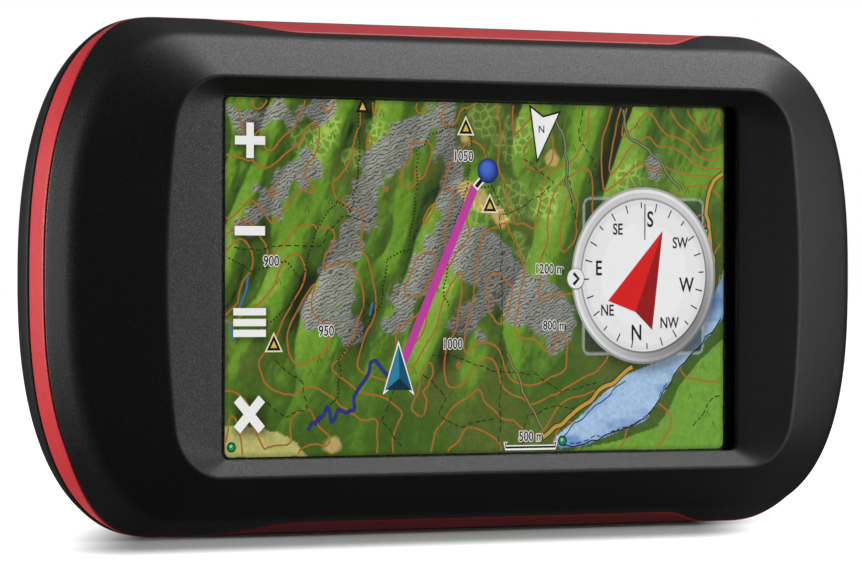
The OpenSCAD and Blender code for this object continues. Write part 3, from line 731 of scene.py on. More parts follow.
c_dark, c_mid, c_lit, c_top = tone((26, 38, 14)), tone((66, 98, 28)), tone((108, 154, 42)), tone((142, 180, 70))
w1, w2, w3 = step01(light, 0.12, 0.45), step01(light, 0.45, 0.72), step01(light, 0.72, 1.0)
col = c_dark + (c_mid - c_dark) * w1[..., None]
col = col + (c_lit - col) * (w2 * 0.95)[..., None]
col = col + (c_top - col) * (w3 * 0.7)[..., None]
col *= (0.86 + 0.28 * mottle)[..., None]
olive = step01(fbm(gu / 11 + 70, gv / 11 + 70, 77, 2), 0.48, 0.70)
col = col + (tone((108, 106, 52)) - col) * (olive * 0.30 * (1 - w2))[..., None]

rock = np.zeros_like(gu)
jag = (fbm(gu / 2.2 + 5, gv / 2.2 + 5, 91, 4) - 0.5) * 5.4
for line, width in ROCK:
    rock = np.maximum(rock, step01(width + jag - to_line(gu, gv, line), -0.10, 0.35))
rock_col = tone((140, 140, 134)) * (0.34 + 1.0 * light)[..., None]
col = col + (rock_col - col) * (rock * 0.93)[..., None]

scrub = np.zeros_like(gu)
for a, b, r in SCRUB:
    scrub = np.maximum(scrub, step01(r + 0.7 * jag - np.hypot(gu - a, gv - b), -0.2, 0.9))
scrub *= 1 - rock
col = col + (tone((120, 152, 66)) * (0.45 + 0.75 * light)[..., None] - col) * (scrub * 0.65)[..., None]

wob = (fbm(gu / 3 + 9, gv / 3 + 9, 95, 3) - 0.5) * 1.0
water = inside(gu + wob, gv + 0.5 * wob, LAKE).astype(float)
lake_col = tone((168, 198, 232)) + (tone((106, 146, 206)) - tone((168, 198, 232))) * step01(fbm(gu / 6, gv / 2.5, 97, 3), 0.35, 0.7)[..., None]
pale = inside(gu + wob, gv + wob, PALE).astype(float)
meadow = inside(gu + wob, gv, MEADOW).astype(float)
col = col + (tone((118, 168, 58)) * (0.88 + 0.24 * mottle)[..., None] - col) * (meadow * 0.85)[..., None]
col = col + (tone((196, 192, 118)) * (0.8 + 0.4 * mottle)[..., None] - col) * (pale * 0.85)[..., None]
col = col + (lake_col - col) * water[..., None]
for a, b, r in ((-2.3, 13.0, 1.6), (0.2, 11.4, 1.8), (2.4, 9.6, 1.6), (3.4, 8.4, 1.2), (12.4, 17.8, 1.2), (-26.2, -24.4, 1.6), (-3.2, 20.6, 1.0)):
    sand = step01(r + 0.45 * jag - np.hypot(gu - a, gv - b), -0.2, 0.5)
    col = col + (tone((206, 176, 112)) - col) * (sand * 0.8)[..., None]
rock *= 1 - water
scrub *= 1 - water

# soft shadows under the white signs
ICONS_V = (19.7, 6.7, -6.5, -19.7)
IU = -40.2
sh = np.zeros_like(gu)


def shade_box(cu, cv, a, b, soft, k=0.75):
    global sh
    d = np.hypot(np.maximum(np.abs(gu - cu) - a, 0), np.maximum(np.abs(gv - cv) - b, 0))
    sh = np.maximum(sh, k * (1 - step01(d, 0, soft)))


shade_box(IU + 0.2, ICONS_V[0] - 0.3, 2.5, 0.6, 1.3)
shade_box(IU + 0.2, ICONS_V[0] - 0.3, 0.6, 2.5, 1.3)
shade_box(IU + 0.2, ICONS_V[1] - 0.3, 2.5, 0.6, 1.3)
for k in (-1.55, 0, 1.55):
    shade_box(IU + 0.2, ICONS_V[2] - 0.3 + k, 2.6, 0.4, 1.2)
shade_box(IU + 0.2, ICONS_V[3] - 0.3, 2.0, 2.0, 1.6)
d = np.hypot(gu - 29.9, gv + 0.4)
sh = np.maximum(sh, 0.7 * (1 - step01(d, 12.8, 15.0)))
# the dark see-through plate behind the compass
plate_d = np.hypot(np.maximum(np.abs(gu - 29.5) - 10.0, 0), np.maximum(np.abs(gv - 0.3) - 10.6, 0))
plate = 1 - step01(plate_d, 1.05, 1.3)
plate_edge = step01(plate_d, 0.8, 0.95) * (1 - step01(plate_d, 1.15, 1.3))
col = col * (1 - 0.80 * sh)[..., None]
col = col + (tone((34, 44, 40)) - col) * (plate * 0.62)[..., None]
col = col + (tone((190, 205, 200)) - col) * (plate_edge * 0.55)[..., None]
rock *= 1 - 0.8 * plate
# painted shade of the recess: the picture is a little darker towards its edges, below the glass
painted_edge_shade = step01(np.minimum(PU - np.abs(gu), PV - np.abs(gv)), -0.2, 0.9)
col = col * (0.55 + 0.45 * painted_edge_shade)[..., None]


def corner_cut(u, v):
    """Pulls the grid's corners in to a small radius."""
    r = 1.0
    a, b = np.abs(u) - (PU - r), np.abs(v) - (PV - r)
    out_ = (a > 0) & (b > 0)
    dd = np.maximum(np.maximum(a, b), 1e-9)
    k = np.where(out_, np.where(np.hypot(a, b) > 0, dd / np.maximum(np.hypot(a, b), 1e-9), 1), 1)
    return np.where(out_, np.sign(u) * (PU - r + a * k), u), np.where(out_, np.sign(v) * (PV - r + b * k), v)


cu_, cv_ = corner_cut(gu, gv)
pts = np.stack([cu_.ravel(), np.full(gu.size, PICT_D - YC), cv_.ravel() + HZ], 1)
ii, jj = np.meshgrid(np.arange(nu - 1), np.arange(nv - 1), indexing="ij")
a = (ii * nv + jj).ravel()
faces = np.stack([a, a + nv, a + nv + 1, a + 1], 1)
# a thin body behind it, so that the picture is a closed sheet
rim = np.concatenate([np.arange(nu) * nv, (nu - 1) * nv + np.arange(1, nv), (np.arange(nu - 2, -1, -1)) * nv + nv - 1, np.arange(nv - 2, 0, -1)])
back_pts = pts[rim].copy()
back_pts[:, 1] += 0.012
nb = len(rim)
side = [(int(rim[k]), int(rim[(k + 1) % nb]), gu.size + (k + 1) % nb, gu.size + k) for k in range(nb)]
all_faces = faces.tolist() + side + [[gu.size + k for k in range(nb)]]
M_MAP, mnt, mp_ = material("map_picture", (0, 0, 0), 0.35, spec=0.2)
me = bpy.data.meshes.new("map_picture")
me.from_pydata([tuple(v) for v in np.concatenate([pts, back_pts]) * MM], [], all_faces)
me.validate()
picture = bpy.data.objects.new("map_picture", me)
scene.collection.objects.link(picture)
finish_mesh(picture, 30)
for nm, val in (("ink", col), ("kind", np.stack([rock, scrub, water], -1))):
    at = me.color_attributes.new(nm, "FLOAT_COLOR", "POINT")
    buf = np.zeros((len(me.vertices), 4), np.float32)
    buf[:, 3] = 1
    buf[: gu.size, :3] = np.clip(val.reshape(-1, 3), 0, 1)
    at.data.foreach_set("color", buf.ravel())
me.materials.append(M_MAP)
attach(picture, "housing")


def mixc(nt, fac, a, b, mode="MIX"):
    m = nt.nodes.new("ShaderNodeMix")
    m.data_type = "RGBA"
    m.blend_type = mode
    for sock, val in ((m.inputs[0], fac), (m.inputs[6], a), (m.inputs[7], b)):
        if hasattr(val, "links") or hasattr(val, "is_linked"):
            nt.links.new(val, sock)
        elif isinstance(val, tuple):
            sock.default_value = (*val, 1)
        else:
            sock.default_value = val
    return m.outputs[2]


ink = mnt.nodes.new("ShaderNodeAttribute")
ink.attribute_name = "ink"
kind = mnt.nodes.new("ShaderNodeAttribute")
kind.attribute_name = "kind"
sep = mnt.nodes.new("ShaderNodeSeparateColor")
mnt.links.new(kind.outputs["Color"], sep.inputs["Color"])
mv = coords(mnt)
wave = mnt.nodes.new("ShaderNodeTexWave")
wave.wave_type = "BANDS"
wave.bands_direction = "Z"
wave.inputs["Scale"].default_value = 0.62
wave.inputs["Distortion"].default_value = 9.0
wave.inputs["Detail"].default_value = 3.0
wave.inputs["Detail Scale"].default_value = 1.6
rot = mnt.nodes.new("ShaderNodeMapping")
rot.inputs["Rotation"].default_value = (0, math.radians(24), 0)
mnt.links.new(mv, rot.inputs["Vector"])
mnt.links.new(rot.outputs["Vector"], wave.inputs["Vector"])
hatch = ramp(mnt, wave.outputs["Fac"], [(0.14, (0.36, 0.36, 0.35)), (0.40, (1.22, 1.22, 1.24))])
hatch_mix = mixc(mnt, sep.outputs["Red"], (1.0, 1.0, 1.0), hatch)
vor = mnt.nodes.new("ShaderNodeTexVoronoi")
vor.feature = "DISTANCE_TO_EDGE"
vor.inputs["Scale"].default_value = 0.72
mnt.links.new(mv, vor.inputs["Vector"])
cell = ramp(mnt, vor.outputs["Distance"], [(0.05, (1.75, 1.55, 1.7)), (0.15, (0.88, 0.92, 0.85))])
cell_mix = mixc(mnt, sep.outputs["Green"], (1.0, 1.0, 1.0), cell)
speck = noise(mnt, mv, 1.5, 3.0, 0.6)
speck_c = ramp(mnt, speck, [(0.32, (0.86, 0.88, 0.84)), (0.68, (1.14, 1.12, 1.12))])
c1 = mixc(mnt, 1.0, ink.outputs["Color"], hatch_mix, "MULTIPLY")
c2 = mixc(mnt, 1.0, c1, cell_mix, "MULTIPLY")
c3 = mixc(mnt, 1.0, c2, speck_c, "MULTIPLY")
mnt.links.new(c3, mp_.inputs["Emission Color"])
mp_.inputs["Emission Strength"].default_value = 1.0
mp_.inputs["Base Color"].default_value = (0.01, 0.01, 0.01, 1)


# ---------------------------------------------------------------------
# Signs, lines and dial: flat sheets just in front of the picture
# ---------------------------------------------------------------------
class Sheet:
    def __init__(self, name):
        self.name, self.v, self.f, self.c = name, [], [], []

    def poly(self, pts2, colour, layer):
        k = len(self.v)
        y = PICT_D - 0.016 * layer
        self.v += [(p[0], y - YC, p[1] + HZ) for p in pts2]
        self.f.append(list(range(k, k + len(pts2))))
        self.c.append(colour)

    def ribbon(self, line, width, colour, layer, closed=False):
        p = np.array(line, float)
        if closed:
            p = np.concatenate([p, p[:1]])
        t = np.gradient(p, axis=0)
        if closed:
            t[0] = t[-1] = p[1] - p[-2]
        t /= np.maximum(np.linalg.norm(t, axis=1, keepdims=True), 1e-9)
        n = np.stack([-t[:, 1], t[:, 0]], 1) * width / 2
        a_, b_ = p + n, p - n
        for k in range(len(p) - 1):
            self.poly([a_[k], a_[k + 1], b_[k + 1], b_[k]], colour, layer)

    def disc(self, cu, cv, r, colour, layer, n=40):
        t = np.linspace(0, 2 * np.pi, n, endpoint=False)
        self.poly(np.stack([cu + r * np.cos(t), cv + r * np.sin(t)], 1), colour, layer)

    def bar(self, cu, cv, w, hgt, colour, layer, turn=0.0):
        c, s_ = math.cos(turn), math.sin(turn)
        q = [(-w / 2, -hgt / 2), (w / 2, -hgt / 2), (w / 2, hgt / 2), (-w / 2, hgt / 2)]
        self.poly([(cu + x * c - y * s_, cv + x * s_ + y * c) for x, y in q], colour, layer)

    def word(self, text, cu, cv, size, colour, layer, grow=0.0, squeeze=1.0):
        cur = bpy.data.curves.new("t", "FONT")
        cur.body = text
        cur.align_x = cur.align_y = "CENTER"
        cur.size = size
        cur.offset = grow
        cur.resolution_u = 4
        ob = bpy.data.objects.new("t", cur)
        scene.collection.objects.link(ob)
        dg = bpy.context.evaluated_depsgraph_get()
        m_ = bpy.data.meshes.new_from_object(ob.evaluated_get(dg))
        k = len(self.v)
        y = PICT_D - 0.016 * layer
        self.v += [(cu + v.co.x * squeeze, y - YC, cv + v.co.y + HZ) for v in m_.vertices]
        for f in m_.polygons:
            self.f.append([k + i for i in f.vertices])
            self.c.append(colour)
        bpy.data.objects.remove(ob)
        bpy.data.curves.remove(cur)
        bpy.data.meshes.remove(m_)

    def make(self, mat):
        me_ = bpy.data.meshes.new(self.name)
        me_.from_pydata([tuple(np.array(v) * MM) for v in self.v], [], self.f)
        at_ = me_.color_attributes.new("ink", "FLOAT_COLOR", "CORNER")
        cols = []
        for f, c in zip(me_.polygons, self.c):
            cols += [(*c, 1.0)] * f.loop_total
        at_.data.foreach_set("color", np.array(cols, np.float32).ravel())
        ob = bpy.data.objects.new(self.name, me_)
        scene.collection.objects.link(ob)
        bm = bmesh.new()
        bm.from_mesh(me_)
        for f in bm.faces:
            f.normal_update()
            if f.normal.y > 0:
                f.normal_flip()
        bm.to_mesh(me_)
        bm.free()
        me_.materials.append(mat)
        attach(ob, "housing")
        return ob


M_INK, int_, ip_ = material("screen_ink", (0.01, 0.01, 0.01), 0.35, spec=0.2)
ia = int_.nodes.new("ShaderNodeAttribute")
ia.attribute_name = "ink"
iv = noise(int_, coords(int_), 0.5, 2.0)
ic = mixc(int_, 1.0, ia.outputs["Color"], ramp(int_, iv, [(0.3, (0.97, 0.97, 0.97)), (0.7, (1.0, 1.0, 1.0))]), "MULTIPLY")
int_.links.new(ic, ip_.inputs["Emission Color"])
ip_.inputs["Emission Strength"].default_value = 1.0

BLACK, WHITE = srgb(14, 14, 12), (0.93, 0.93, 0.92)
ORANGE, TRAIL = srgb(170, 106, 40), srgb(26, 28, 16)


def clip_in(u, v, m=0.5):
    return abs(u) < PU - m and abs(v) < PV - m


def free_of_dial(u, v):
    return math.hypot(u - 29.5, v - 0.4) > 12.6


lines = Sheet("map_lines")
# contour lines from the same land, by marching squares
cs = 0.55
cgu, cgv = np.meshgrid(np.arange(-PU + 0.3, PU - 0.2, cs), np.arange(-PV + 0.3, PV - 0.2, cs), indexing="ij")
hs = 0.42 * ground(cgu, cgv) + 2.4 * fbm(cgu / 13 + 3, cgv / 13 + 3, 33, 3, 0.42) + 0.02 * cgu
in_lake = inside(cgu, cgv, LAKE)
for level in np.arange(float(hs.min()) + 0.2, float(hs.max()), 0.52):
    s_ = hs - level
    for i in range(cgu.shape[0] - 1):
        for j in range(cgu.shape[1] - 1):
            q = [(i, j), (i + 1, j), (i + 1, j + 1), (i, j + 1)]
            val = [s_[a_] for a_ in q]
            if min(val) > 0 or max(val) < 0 or in_lake[i, j]:
                continue
            hit = []
            for k in range(4):
                a_, b_ = q[k], q[(k + 1) % 4]
                if (val[k] > 0) != (val[(k + 1) % 4] > 0):
                    t = val[k] / (val[k] - val[(k + 1) % 4])
                    hit.append((cgu[a_] + (cgu[b_] - cgu[a_]) * t, cgv[a_] + (cgv[b_] - cgv[a_]) * t))
            if len(hit) == 2:
                (a0, b0), (a1, b1) = hit
                L = math.hypot(a1 - a0, b1 - b0)
                if L < 1e-4 or not free_of_dial(a0, b0):
                    continue
                e = 0.03 / L
                lines.ribbon([(a0 - (a1 - a0) * e, b0 - (b1 - b0) * e), (a1 + (a1 - a0) * e, b1 + (b1 - b0) * e)], 0.27, ORANGE, 1)


def walk(line, pitch):
    p = np.array(line, float)
    p[:, 0] += 0.0
    seg = np.hypot(*np.diff(p, axis=0).T)
    d_ = np.concatenate([[0], np.cumsum(seg)])
    s_ = np.arange(0, d_[-1], pitch)
    x = np.interp(s_, d_, p[:, 0]) + 0.55 * (vnoise(s_ / 1.4 + p[0, 0] + 90, s_ * 0 + 3, 5) - 0.5)
    y = np.interp(s_, d_, p[:, 1]) + 0.55 * (vnoise(s_ / 1.6 + p[0, 1] + 90, s_ * 0 + 7, 6) - 0.5)
    return np.stack([x, y], 1)


DOTTED = [[(-21.4, 25.4), (-21.7, 17.5), (-22.8, 9.2), (-25.3, 11.2), (-29.0, 6.9), (-32.7, -3.8), (-40.2, -8.2)],
          [(-2.9, 22.9), (-9.1, 21.1), (-11.5, 18.2), (-11.8, 10.9), (-13.1, 4.1), (-16.8, 2.4), (-17.7, -3.8), (-21.1, -8.3), (-24.8, -11.6), (-25.0, -17.2), (-28.9, -21.5)],
          [(-3.4, 25.2), (-2.0, 20.6), (-2.3, 14.9), (-5.7, 5.3), (-6.7, -1.5), (-6.0, -4.4)],
          [(-1.2, 13.4), (1.6, 13.6), (3.0, 11.8), (2.6, 9.8)], [(-44.0, 3.0), (-40, 1.0), (-34, 2.2), (-31, -1)]]
DASHED = [[(3.3, 9.3), (3.6, -6.1), (3.3, -24.9)], [(14.2, 23.2), (15.3, 16.9), (16.4, 11.2), (17.4, 7.1)],
          [(-44.1, 4.4), (-38.2, 4.0), (-33.0, 4.8), (-28.4, 4.6), (-24.5, 9.1), (-19.9, 8.0), (-17.2, 9.7)],
          [(-10.1, -14.0), (-6.3, -17.4), (-7.7, -20.2), (-3.6, -21.9), (3.3, -20.9)], [(38.6, -22.5), (42.9, -17.9), (44.0, -17.6)],
          [(7.3, 17.9), (12.9, 14.0), (7.3, 10.5), (3.5, 9.3)], [(-9.0, -11.1), (-3.6, -11.7), (1.9, -14.0), (9.5, -14.4), (14.4, -17.0), (21.4, -15.4)],
          [(18.0, 25.0), (17.4, 21.0), (20.6, 17.2), (19.2, 13.8)], [(-36.0, -12.0), (-31.0, -15.5), (-30.5, -19.0), (-34.0, -20.5), (-38, -17.6), (-40.5, -19.5)],
          [(16.0, -24.9), (24.5, -22.9), (31.0, -20.6), (34.0, -15.2)], [(-15.5, -16.5), (-17.5, -20.5), (-14.0, -24.8)], [(7.0, -24.8), (8.2, -20.5), (13.8, -18.9), (18, -19.6)]]
for line in DOTTED:
    for u_, v_ in walk(line, 0.55):
        if clip_in(u_, v_) and free_of_dial(u_, v_):
            lines.disc(u_, v_, 0.16, TRAIL, 2, 8)
for line in DASHED:
    w_ = walk(line, 0.42)
    for k in range(0, len(w_) - 2, 3):
        if clip_in(*w_[k]) and clip_in(*w_[k + 2]) and free_of_dial(*w_[k]) and free_of_dial(*w_[k + 2]):
            lines.ribbon(w_[k:k + 3], 0.17, TRAIL, 2)
GREY_ROADS = [[(25.5, 25.1), (26.6, 21.4), (32.0, 18.3), (36.7, 12.8)], [(13.2, 23.5), (15.1, 19.8), (15.3, 14.0), (16.7, 11.2)], [(4.6, -11.2), (6.7, -15.2), (8.8, -19.3), (10.9, -22.7)]]
for k, line in enumerate(GREY_ROADS):
    w_ = walk(line, 0.5)
    lines.ribbon(w_, 0.55, srgb(58, 70, 44), 2)
    lines.ribbon(w_, 0.27, srgb(128, 134, 104) if k < 2 else srgb(150, 128, 80), 3)
for line in ([(10.1, -24.1), (13.0, -22.5), (16.1, -20.5), (20.7, -17.4), (25.6, -14.5), (27.4, -13.2)], [(44.0, 15.8), (42.5, 14.9), (41.6, 13.6), (41.2, 9.6), (42.1, 5.6), (42.6, 1.5)]):
    w_ = walk(line, 0.6)
    lines.ribbon(w_, 0.95, srgb(60, 46, 14), 2)
    lines.ribbon(w_, 0.58, srgb(196, 154, 62), 3)
lines.ribbon(walk([(13.8, -24.2), (17.2, -21.6), (22.1, -18.1), (26.5, -15.4)], 0.6), 0.18, BLACK, 2)
lines.ribbon(walk([(14.6, -25.2), (18.6, -24.9), (23.5, -23.3), (29.9, -21.3), (32.8, -17.8), (35.3, -14.5), (38.5, -11.3), (42.2, -8.4), (44.0, -6.0)], 0.5), 0.2, BLACK, 2)
for line in ([(-40.3, 0.1), (-41.1, -2.7), (-42.1, -4.9)], [(-19.1, -3.8), (-19.8, -6.0)], [(-43.6, -6.2), (-43.0, -9.4)]):
    lines.ribbon(walk(line, 0.4), 0.36, srgb(64, 110, 170), 3)
# little tree signs
tree = np.random.RandomState(3)
made = 0
while made < 130:
    u_, v_ = (tree.rand() * 2 - 1) * (PU - 1.5), (tree.rand() * 2 - 1) * (PV - 1.2)
    i, j = int((u_ + PU) / (2 * PU) * (nu - 1)), int((v_ + PV) / (2 * PV) * (nv - 1))
    if rock[i, j] > 0.3 or water[i, j] or not free_of_dial(u_, v_) or u_ < -36.5:
        made += 0.2
        continue
    lines.ribbon([(u_ - 0.36, v_ - 0.5), (u_, v_ + 0.5), (u_ + 0.36, v_ - 0.5)], 0.16, srgb(56, 88, 26), 2)
    made += 1
lines.make(M_INK)

marks = Sheet("map_marks")
# track, route, pin and the arrow that stands for the user
trk = [(-30.3, -22.3), (-29.7, -21.0), (-27.4, -20.1), (-26.9, -18.7), (-26.1, -20.9), (-24.9, -19.3), (-23.4, -19.9), (-22.3, -19.2), (-22.3, -17.2),
       (-20.8, -15.3), (-19.9, -13.6), (-19.8, -12.3), (-18.6, -12.3), (-16.8, -14.2)]
marks.ribbon(walk(trk, 0.28), 0.62, srgb(44, 50, 128), 4)
marks.ribbon([(-1.3, 13.4), (-13.9, -12.4)], 1.42, srgb(196, 62, 160), 5)
marks.ribbon([(0.75, 15.3), (-1.25, 13.3)], 1.15, WHITE, 6)
marks.ribbon([(0.75, 15.3), (-1.1, 13.45)], 0.62, BLACK, 7)
for k in range(9):
    f_ = k / 8
    cc = tuple(a_ + (b_ - a_) * f_ for a_, b_ in zip(srgb(14, 32, 104), srgb(70, 110, 214)))
    marks.disc(1.0 - 0.35 * f_, 15.85 + 0.5 * f_, 1.86 * (1 - 0.62 * f_), cc, 8 + 0.45 * k)


def outline_poly(p, by):
    """A simple polygon, pushed out by a mitred offset."""
    p = np.array(p, float)
    area = 0.5 * np.sum(p[:, 0] * np.roll(p[:, 1], -1) - np.roll(p[:, 0], -1) * p[:, 1])
    sgn = 1 if area > 0 else -1
    e = np.roll(p, -1, 0) - p
    e /= np.linalg.norm(e, axis=1, keepdims=True)
    nrm = np.stack([e[:, 1], -e[:, 0]], 1) * sgn
    out_ = []
    for k in range(len(p)):
        n0, n1 = nrm[k - 1], nrm[k]
        m_ = n0 + n1
        m_ /= max(np.linalg.norm(m_), 1e-9)
        out_.append(p[k] + m_ * by / max(float(m_ @ n1), 0.45))
    return out_


me_arrow = [(-14.7, -10.1), (-12.4, -16.5), (-14.55, -14.7), (-16.9, -16.4)]
marks.poly(outline_poly(me_arrow, 0.42), WHITE, 8)
marks.poly(outline_poly(me_arrow, 0.12), srgb(10, 40, 56), 9)
marks.poly([(-14.7, -10.1), (-14.55, -14.7), (-16.9, -16.4)], srgb(42, 132, 168), 10)
marks.poly([(-14.7, -10.1), (-12.4, -16.5), (-14.55, -14.7)], srgb(14, 84, 116), 10)
marks.poly([(-16.9, -16.4), (-14.55, -14.7), (-12.4, -16.5)], srgb(8, 46, 66), 10)
north = [(8.7, 25.3), (10.9, 23.9), (13.7, 24.6), (9.9, 17.7)]
marks.poly(outline_poly(north, 0.30), BLACK, 8)
marks.poly(north, WHITE, 9)
marks.word("N", 10.6, 22.1, 1.55, BLACK, 10, 0.02)
for u_, v_ in ((-21.0, 25.0), (-2.9, 22.2), (1.4, 10.8), (-36.1, -9.6)):
    tri = [(u_ - 0.85, v_ - 0.75), (u_ + 0.85, v_ - 0.75), (u_, v_ + 0.85)]
    if v_ < 24.5:
        marks.poly(outline_poly(tri, 0.42), srgb(240, 232, 190), 4)
    marks.poly(outline_poly(tri, 0.2), BLACK, 5)
    marks.poly(outline_poly(tri, -0.18), srgb(226, 190, 70), 6)
for u_, v_, r in ((-43.2, -24.4, 0.75), (14.6, -24.3, 0.8), (41.2, 7.2, 0.45)):
    marks.disc(u_, v_, r, BLACK, 4)
    marks.disc(u_, v_, r * 0.74, srgb(22, 140, 72), 5)
    marks.disc(u_ - 0.15 * r, v_ + 0.2 * r, r * 0.3, srgb(150, 220, 170), 6)
# plain heights and a scale, as numbers only
for text, u_, v_, sz in (("1200 m", 12.1, 1.3, 2.05), ("800 m", 13.1, -7.1, 1.95), ("500 m", 8.9, -23.6, 2.05), ("900", -36.6, 2.3, 2.1), ("950", -27.2, -7.8, 2.1), ("1000", -5.2, -9.8, 2.1), ("1050", -3.4, 17.9, 2.1)):
    marks.word(text, u_, v_, sz, WHITE, 6, 0.155, 0.86)
    marks.word(text, u_, v_, sz, BLACK, 8, 0.035, 0.86)
marks.ribbon([(4.3, -24.3), (4.3, -25.2), (13.3, -25.2), (13.3, -24.3)], 0.75, WHITE, 6)
marks.ribbon([(4.3, -24.4), (4.3, -25.15), (13.3, -25.15), (13.3, -24.4)], 0.3, BLACK, 7)
# white signs down the left side
marks.bar(IU, ICONS_V[0], 5.1, 1.25, WHITE, 6)
marks.bar(IU, ICONS_V[0] + 1.59, 1.25, 1.92, WHITE, 6)
marks.bar(IU, ICONS_V[0] - 1.59, 1.25, 1.92, WHITE, 6)
marks.bar(IU, ICONS_V[1], 5.1, 1.35, WHITE, 6)
for k in (-1.55, 0, 1.55):
    marks.bar(IU, ICONS_V[2] + k, 5.5, 1.05, WHITE, 6)
marks.bar(IU, ICONS_V[3], 6.1, 1.45, WHITE, 6, math.radians(47))
marks.bar(IU, ICONS_V[3], 6.1, 1.45, WHITE, 6.2, math.radians(-47))
# dial: ring, face, ticks, letters, needle
DU, DV = 29.5, 0.4
NR = 96
ang = np.linspace(0, 2 * np.pi, NR, endpoint=False)
for r0, r1, base in ((13.35, 13.0, 0.42), (13.0, 12.5, 0.72), (12.5, 11.75, 0.60), (11.75, 11.45, 0.36)):
    for k in range(NR):
        a0, a1 = ang[k], ang[(k + 1) % NR]
        sheen_ = base * (1 + 0.30 * math.cos(a0 - 2.3) + 0.16 * math.cos(2 * (a0 - 0.7)))
        g_ = min(sheen_, 0.95) ** 1.25
        marks.poly([(DU + r0 * math.cos(a0), DV + r0 * math.sin(a0)), (DU + r0 * math.cos(a1), DV + r0 * math.sin(a1)),
                    (DU + r1 * math.cos(a1), DV + r1 * math.sin(a1)), (DU + r1 * math.cos(a0), DV + r1 * math.sin(a0))], (g_, g_, g_ * 1.01), 6)
for r0, r1, g_ in ((11.45, 10.6, 0.80), (10.6, 8.0, 0.87), (8.0, 0.0, 0.92)):
    for k in range(NR):
        a0, a1 = ang[k], ang[(k + 1) % NR]
        q = [(DU + r0 * math.cos(a0), DV + r0 * math.sin(a0)), (DU + r0 * math.cos(a1), DV + r0 * math.sin(a1))]
        q += [(DU + r1 * math.cos(a1), DV + r1 * math.sin(a1)), (DU + r1 * math.cos(a0), DV + r1 * math.sin(a0))] if r1 else [(DU, DV)]
        marks.poly(q, (g_, g_, g_), 6)
for k in range(24):
    a0 = math.radians(15 * k + 3)
    L = 1.3 if k % 3 else 0.9
    marks.ribbon([(DU + 11.1 * math.cos(a0), DV + 11.1 * math.sin(a0)), (DU + (11.1 - L) * math.cos(a0), DV + (11.1 - L) * math.sin(a0))], 0.2, BLACK, 8)
for text, u_, v_, sz in (("S", 30.6, 8.8, 3.3), ("SW", 36.2, 5.3, 2.35), ("W", 37.4, -1.1, 3.1), ("NW", 34.2, -6.8, 2.35), ("N", 28.1, -8.3, 3.3),
                         ("NE", 22.7, -4.9, 2.35), ("E", 21.1, 1.4, 3.1), ("SE", 24.6, 7.3, 2.35)):
    marks.word(text, u_, v_, sz, BLACK, 8, 0.045 * sz / 2.5, 0.82)
marks.ribbon([(29.6, 11.2), (29.6, 5.8)], 0.2, BLACK, 9)
marks.poly([(32.9, 7.2), (31.0, -7.8), (27.9, -5.1)], srgb(150, 8, 10), 10)
marks.poly([(32.9, 7.2), (27.9, -5.1), (22.8, -3.4)], srgb(222, 20, 16), 10)
marks.disc(16.9, -0.1, 1.65, srgb(120, 124, 122), 7)
marks.disc(16.9, -0.05, 1.5, (0.86, 0.87, 0.87), 8)
marks.ribbon([(16.5, 0.75), (17.4, -0.1), (16.5, -0.95)], 0.5, BLACK, 9)
marks.make(M_INK)

# black print behind the glass, and the clear film
def frame_sheet(name, w0, h0, r0, w1, h1, r1, d0, d1, mat, slot_name, body="housing", n=14):
    def loop(w, hgt, r):
        out_ = []
        for sx, sz, t0 in ((1, 1, 0), (-1, 1, 90), (-1, -1, 180), (1, -1, 270)):
            for k in range(n + 1):
                t = math.radians(t0 + 90 * k / n)
                out_.append((sx * (w / 2 - r) + r * math.cos(t), sz * (hgt / 2 - r) + r * math.sin(t)))
        return np.array(out_)
    rr_ = [np.stack([p[:, 0], np.full(len(p), dd - YC), p[:, 1] + HZ], 1)
           for p, dd in ((loop(w0, h0, r0), d0), (loop(w0, h0, r0), d1), (loop(w1, h1, r1), d1), (loop(w1, h1, r1), d0))]
    return hoop(rr_, name, mat, body=body, slot=slot_name, smooth_angle=30)


frame_sheet("glass_border_print", 99.4, 58.2, 1.8, 2 * PU, 2 * PV, 1.0, 3.504, 3.524, M_BORDER, "cover_glass")
film = new_object("touch_film_sheet", [(x, d_ - YC, z + HZ) for d_ in (3.530, 3.545) for x, z in ((-47.5, -28.5), (47.5, -28.5), (47.5, 28.5), (-47.5, 28.5))],
                  [(0, 1, 2, 3), (7, 6, 5, 4), (0, 4, 5, 1), (1, 5, 6, 2), (2, 6, 7, 3), (3, 7, 4, 0)], M_FILM, slot="touch_film")
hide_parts("touch_sensor")

# =====================================================================
# The other parts: CAD shapes with eased edges where they show, and materials inside
# =====================================================================
paint("touch_glass", M_GLASS)
paint("lcd_panel", M_LCD)
for n_, m_ in {"glass_adhesive": M_BLACKRUB, "lcd_backlight": M_WHITE, "lcd_frame": M_TIN, "lcd_flex": M_FLEX, "main_board": M_BOARD, "shield_cans": M_TIN,
               "gps_antenna_patch": M_CERAMIC, "antenna_board": M_BOARD, "rear_board": M_BOARD, "battery_contact_block": M_CONN, "battery_contacts": M_GOLD,
               "battery_terminals": M_GOLD, "key_switch": M_SWITCH, "key_plunger": M_CONN, "key_board": M_BOARD, "key_seal": M_GREY, "camera_module": M_CONN,
               "memory_card_socket": M_TIN, "buzzer": M_CONN, "vent_membrane": M_MEMB, "board_screws": M_STEEL, "door_gasket": M_GREY,
               "antenna_connector": M_GOLD, "usb_port": M_TIN, "audio_jack": M_CONN, "cradle_contacts": M_GOLD}.items():
    paint(n_, m_)
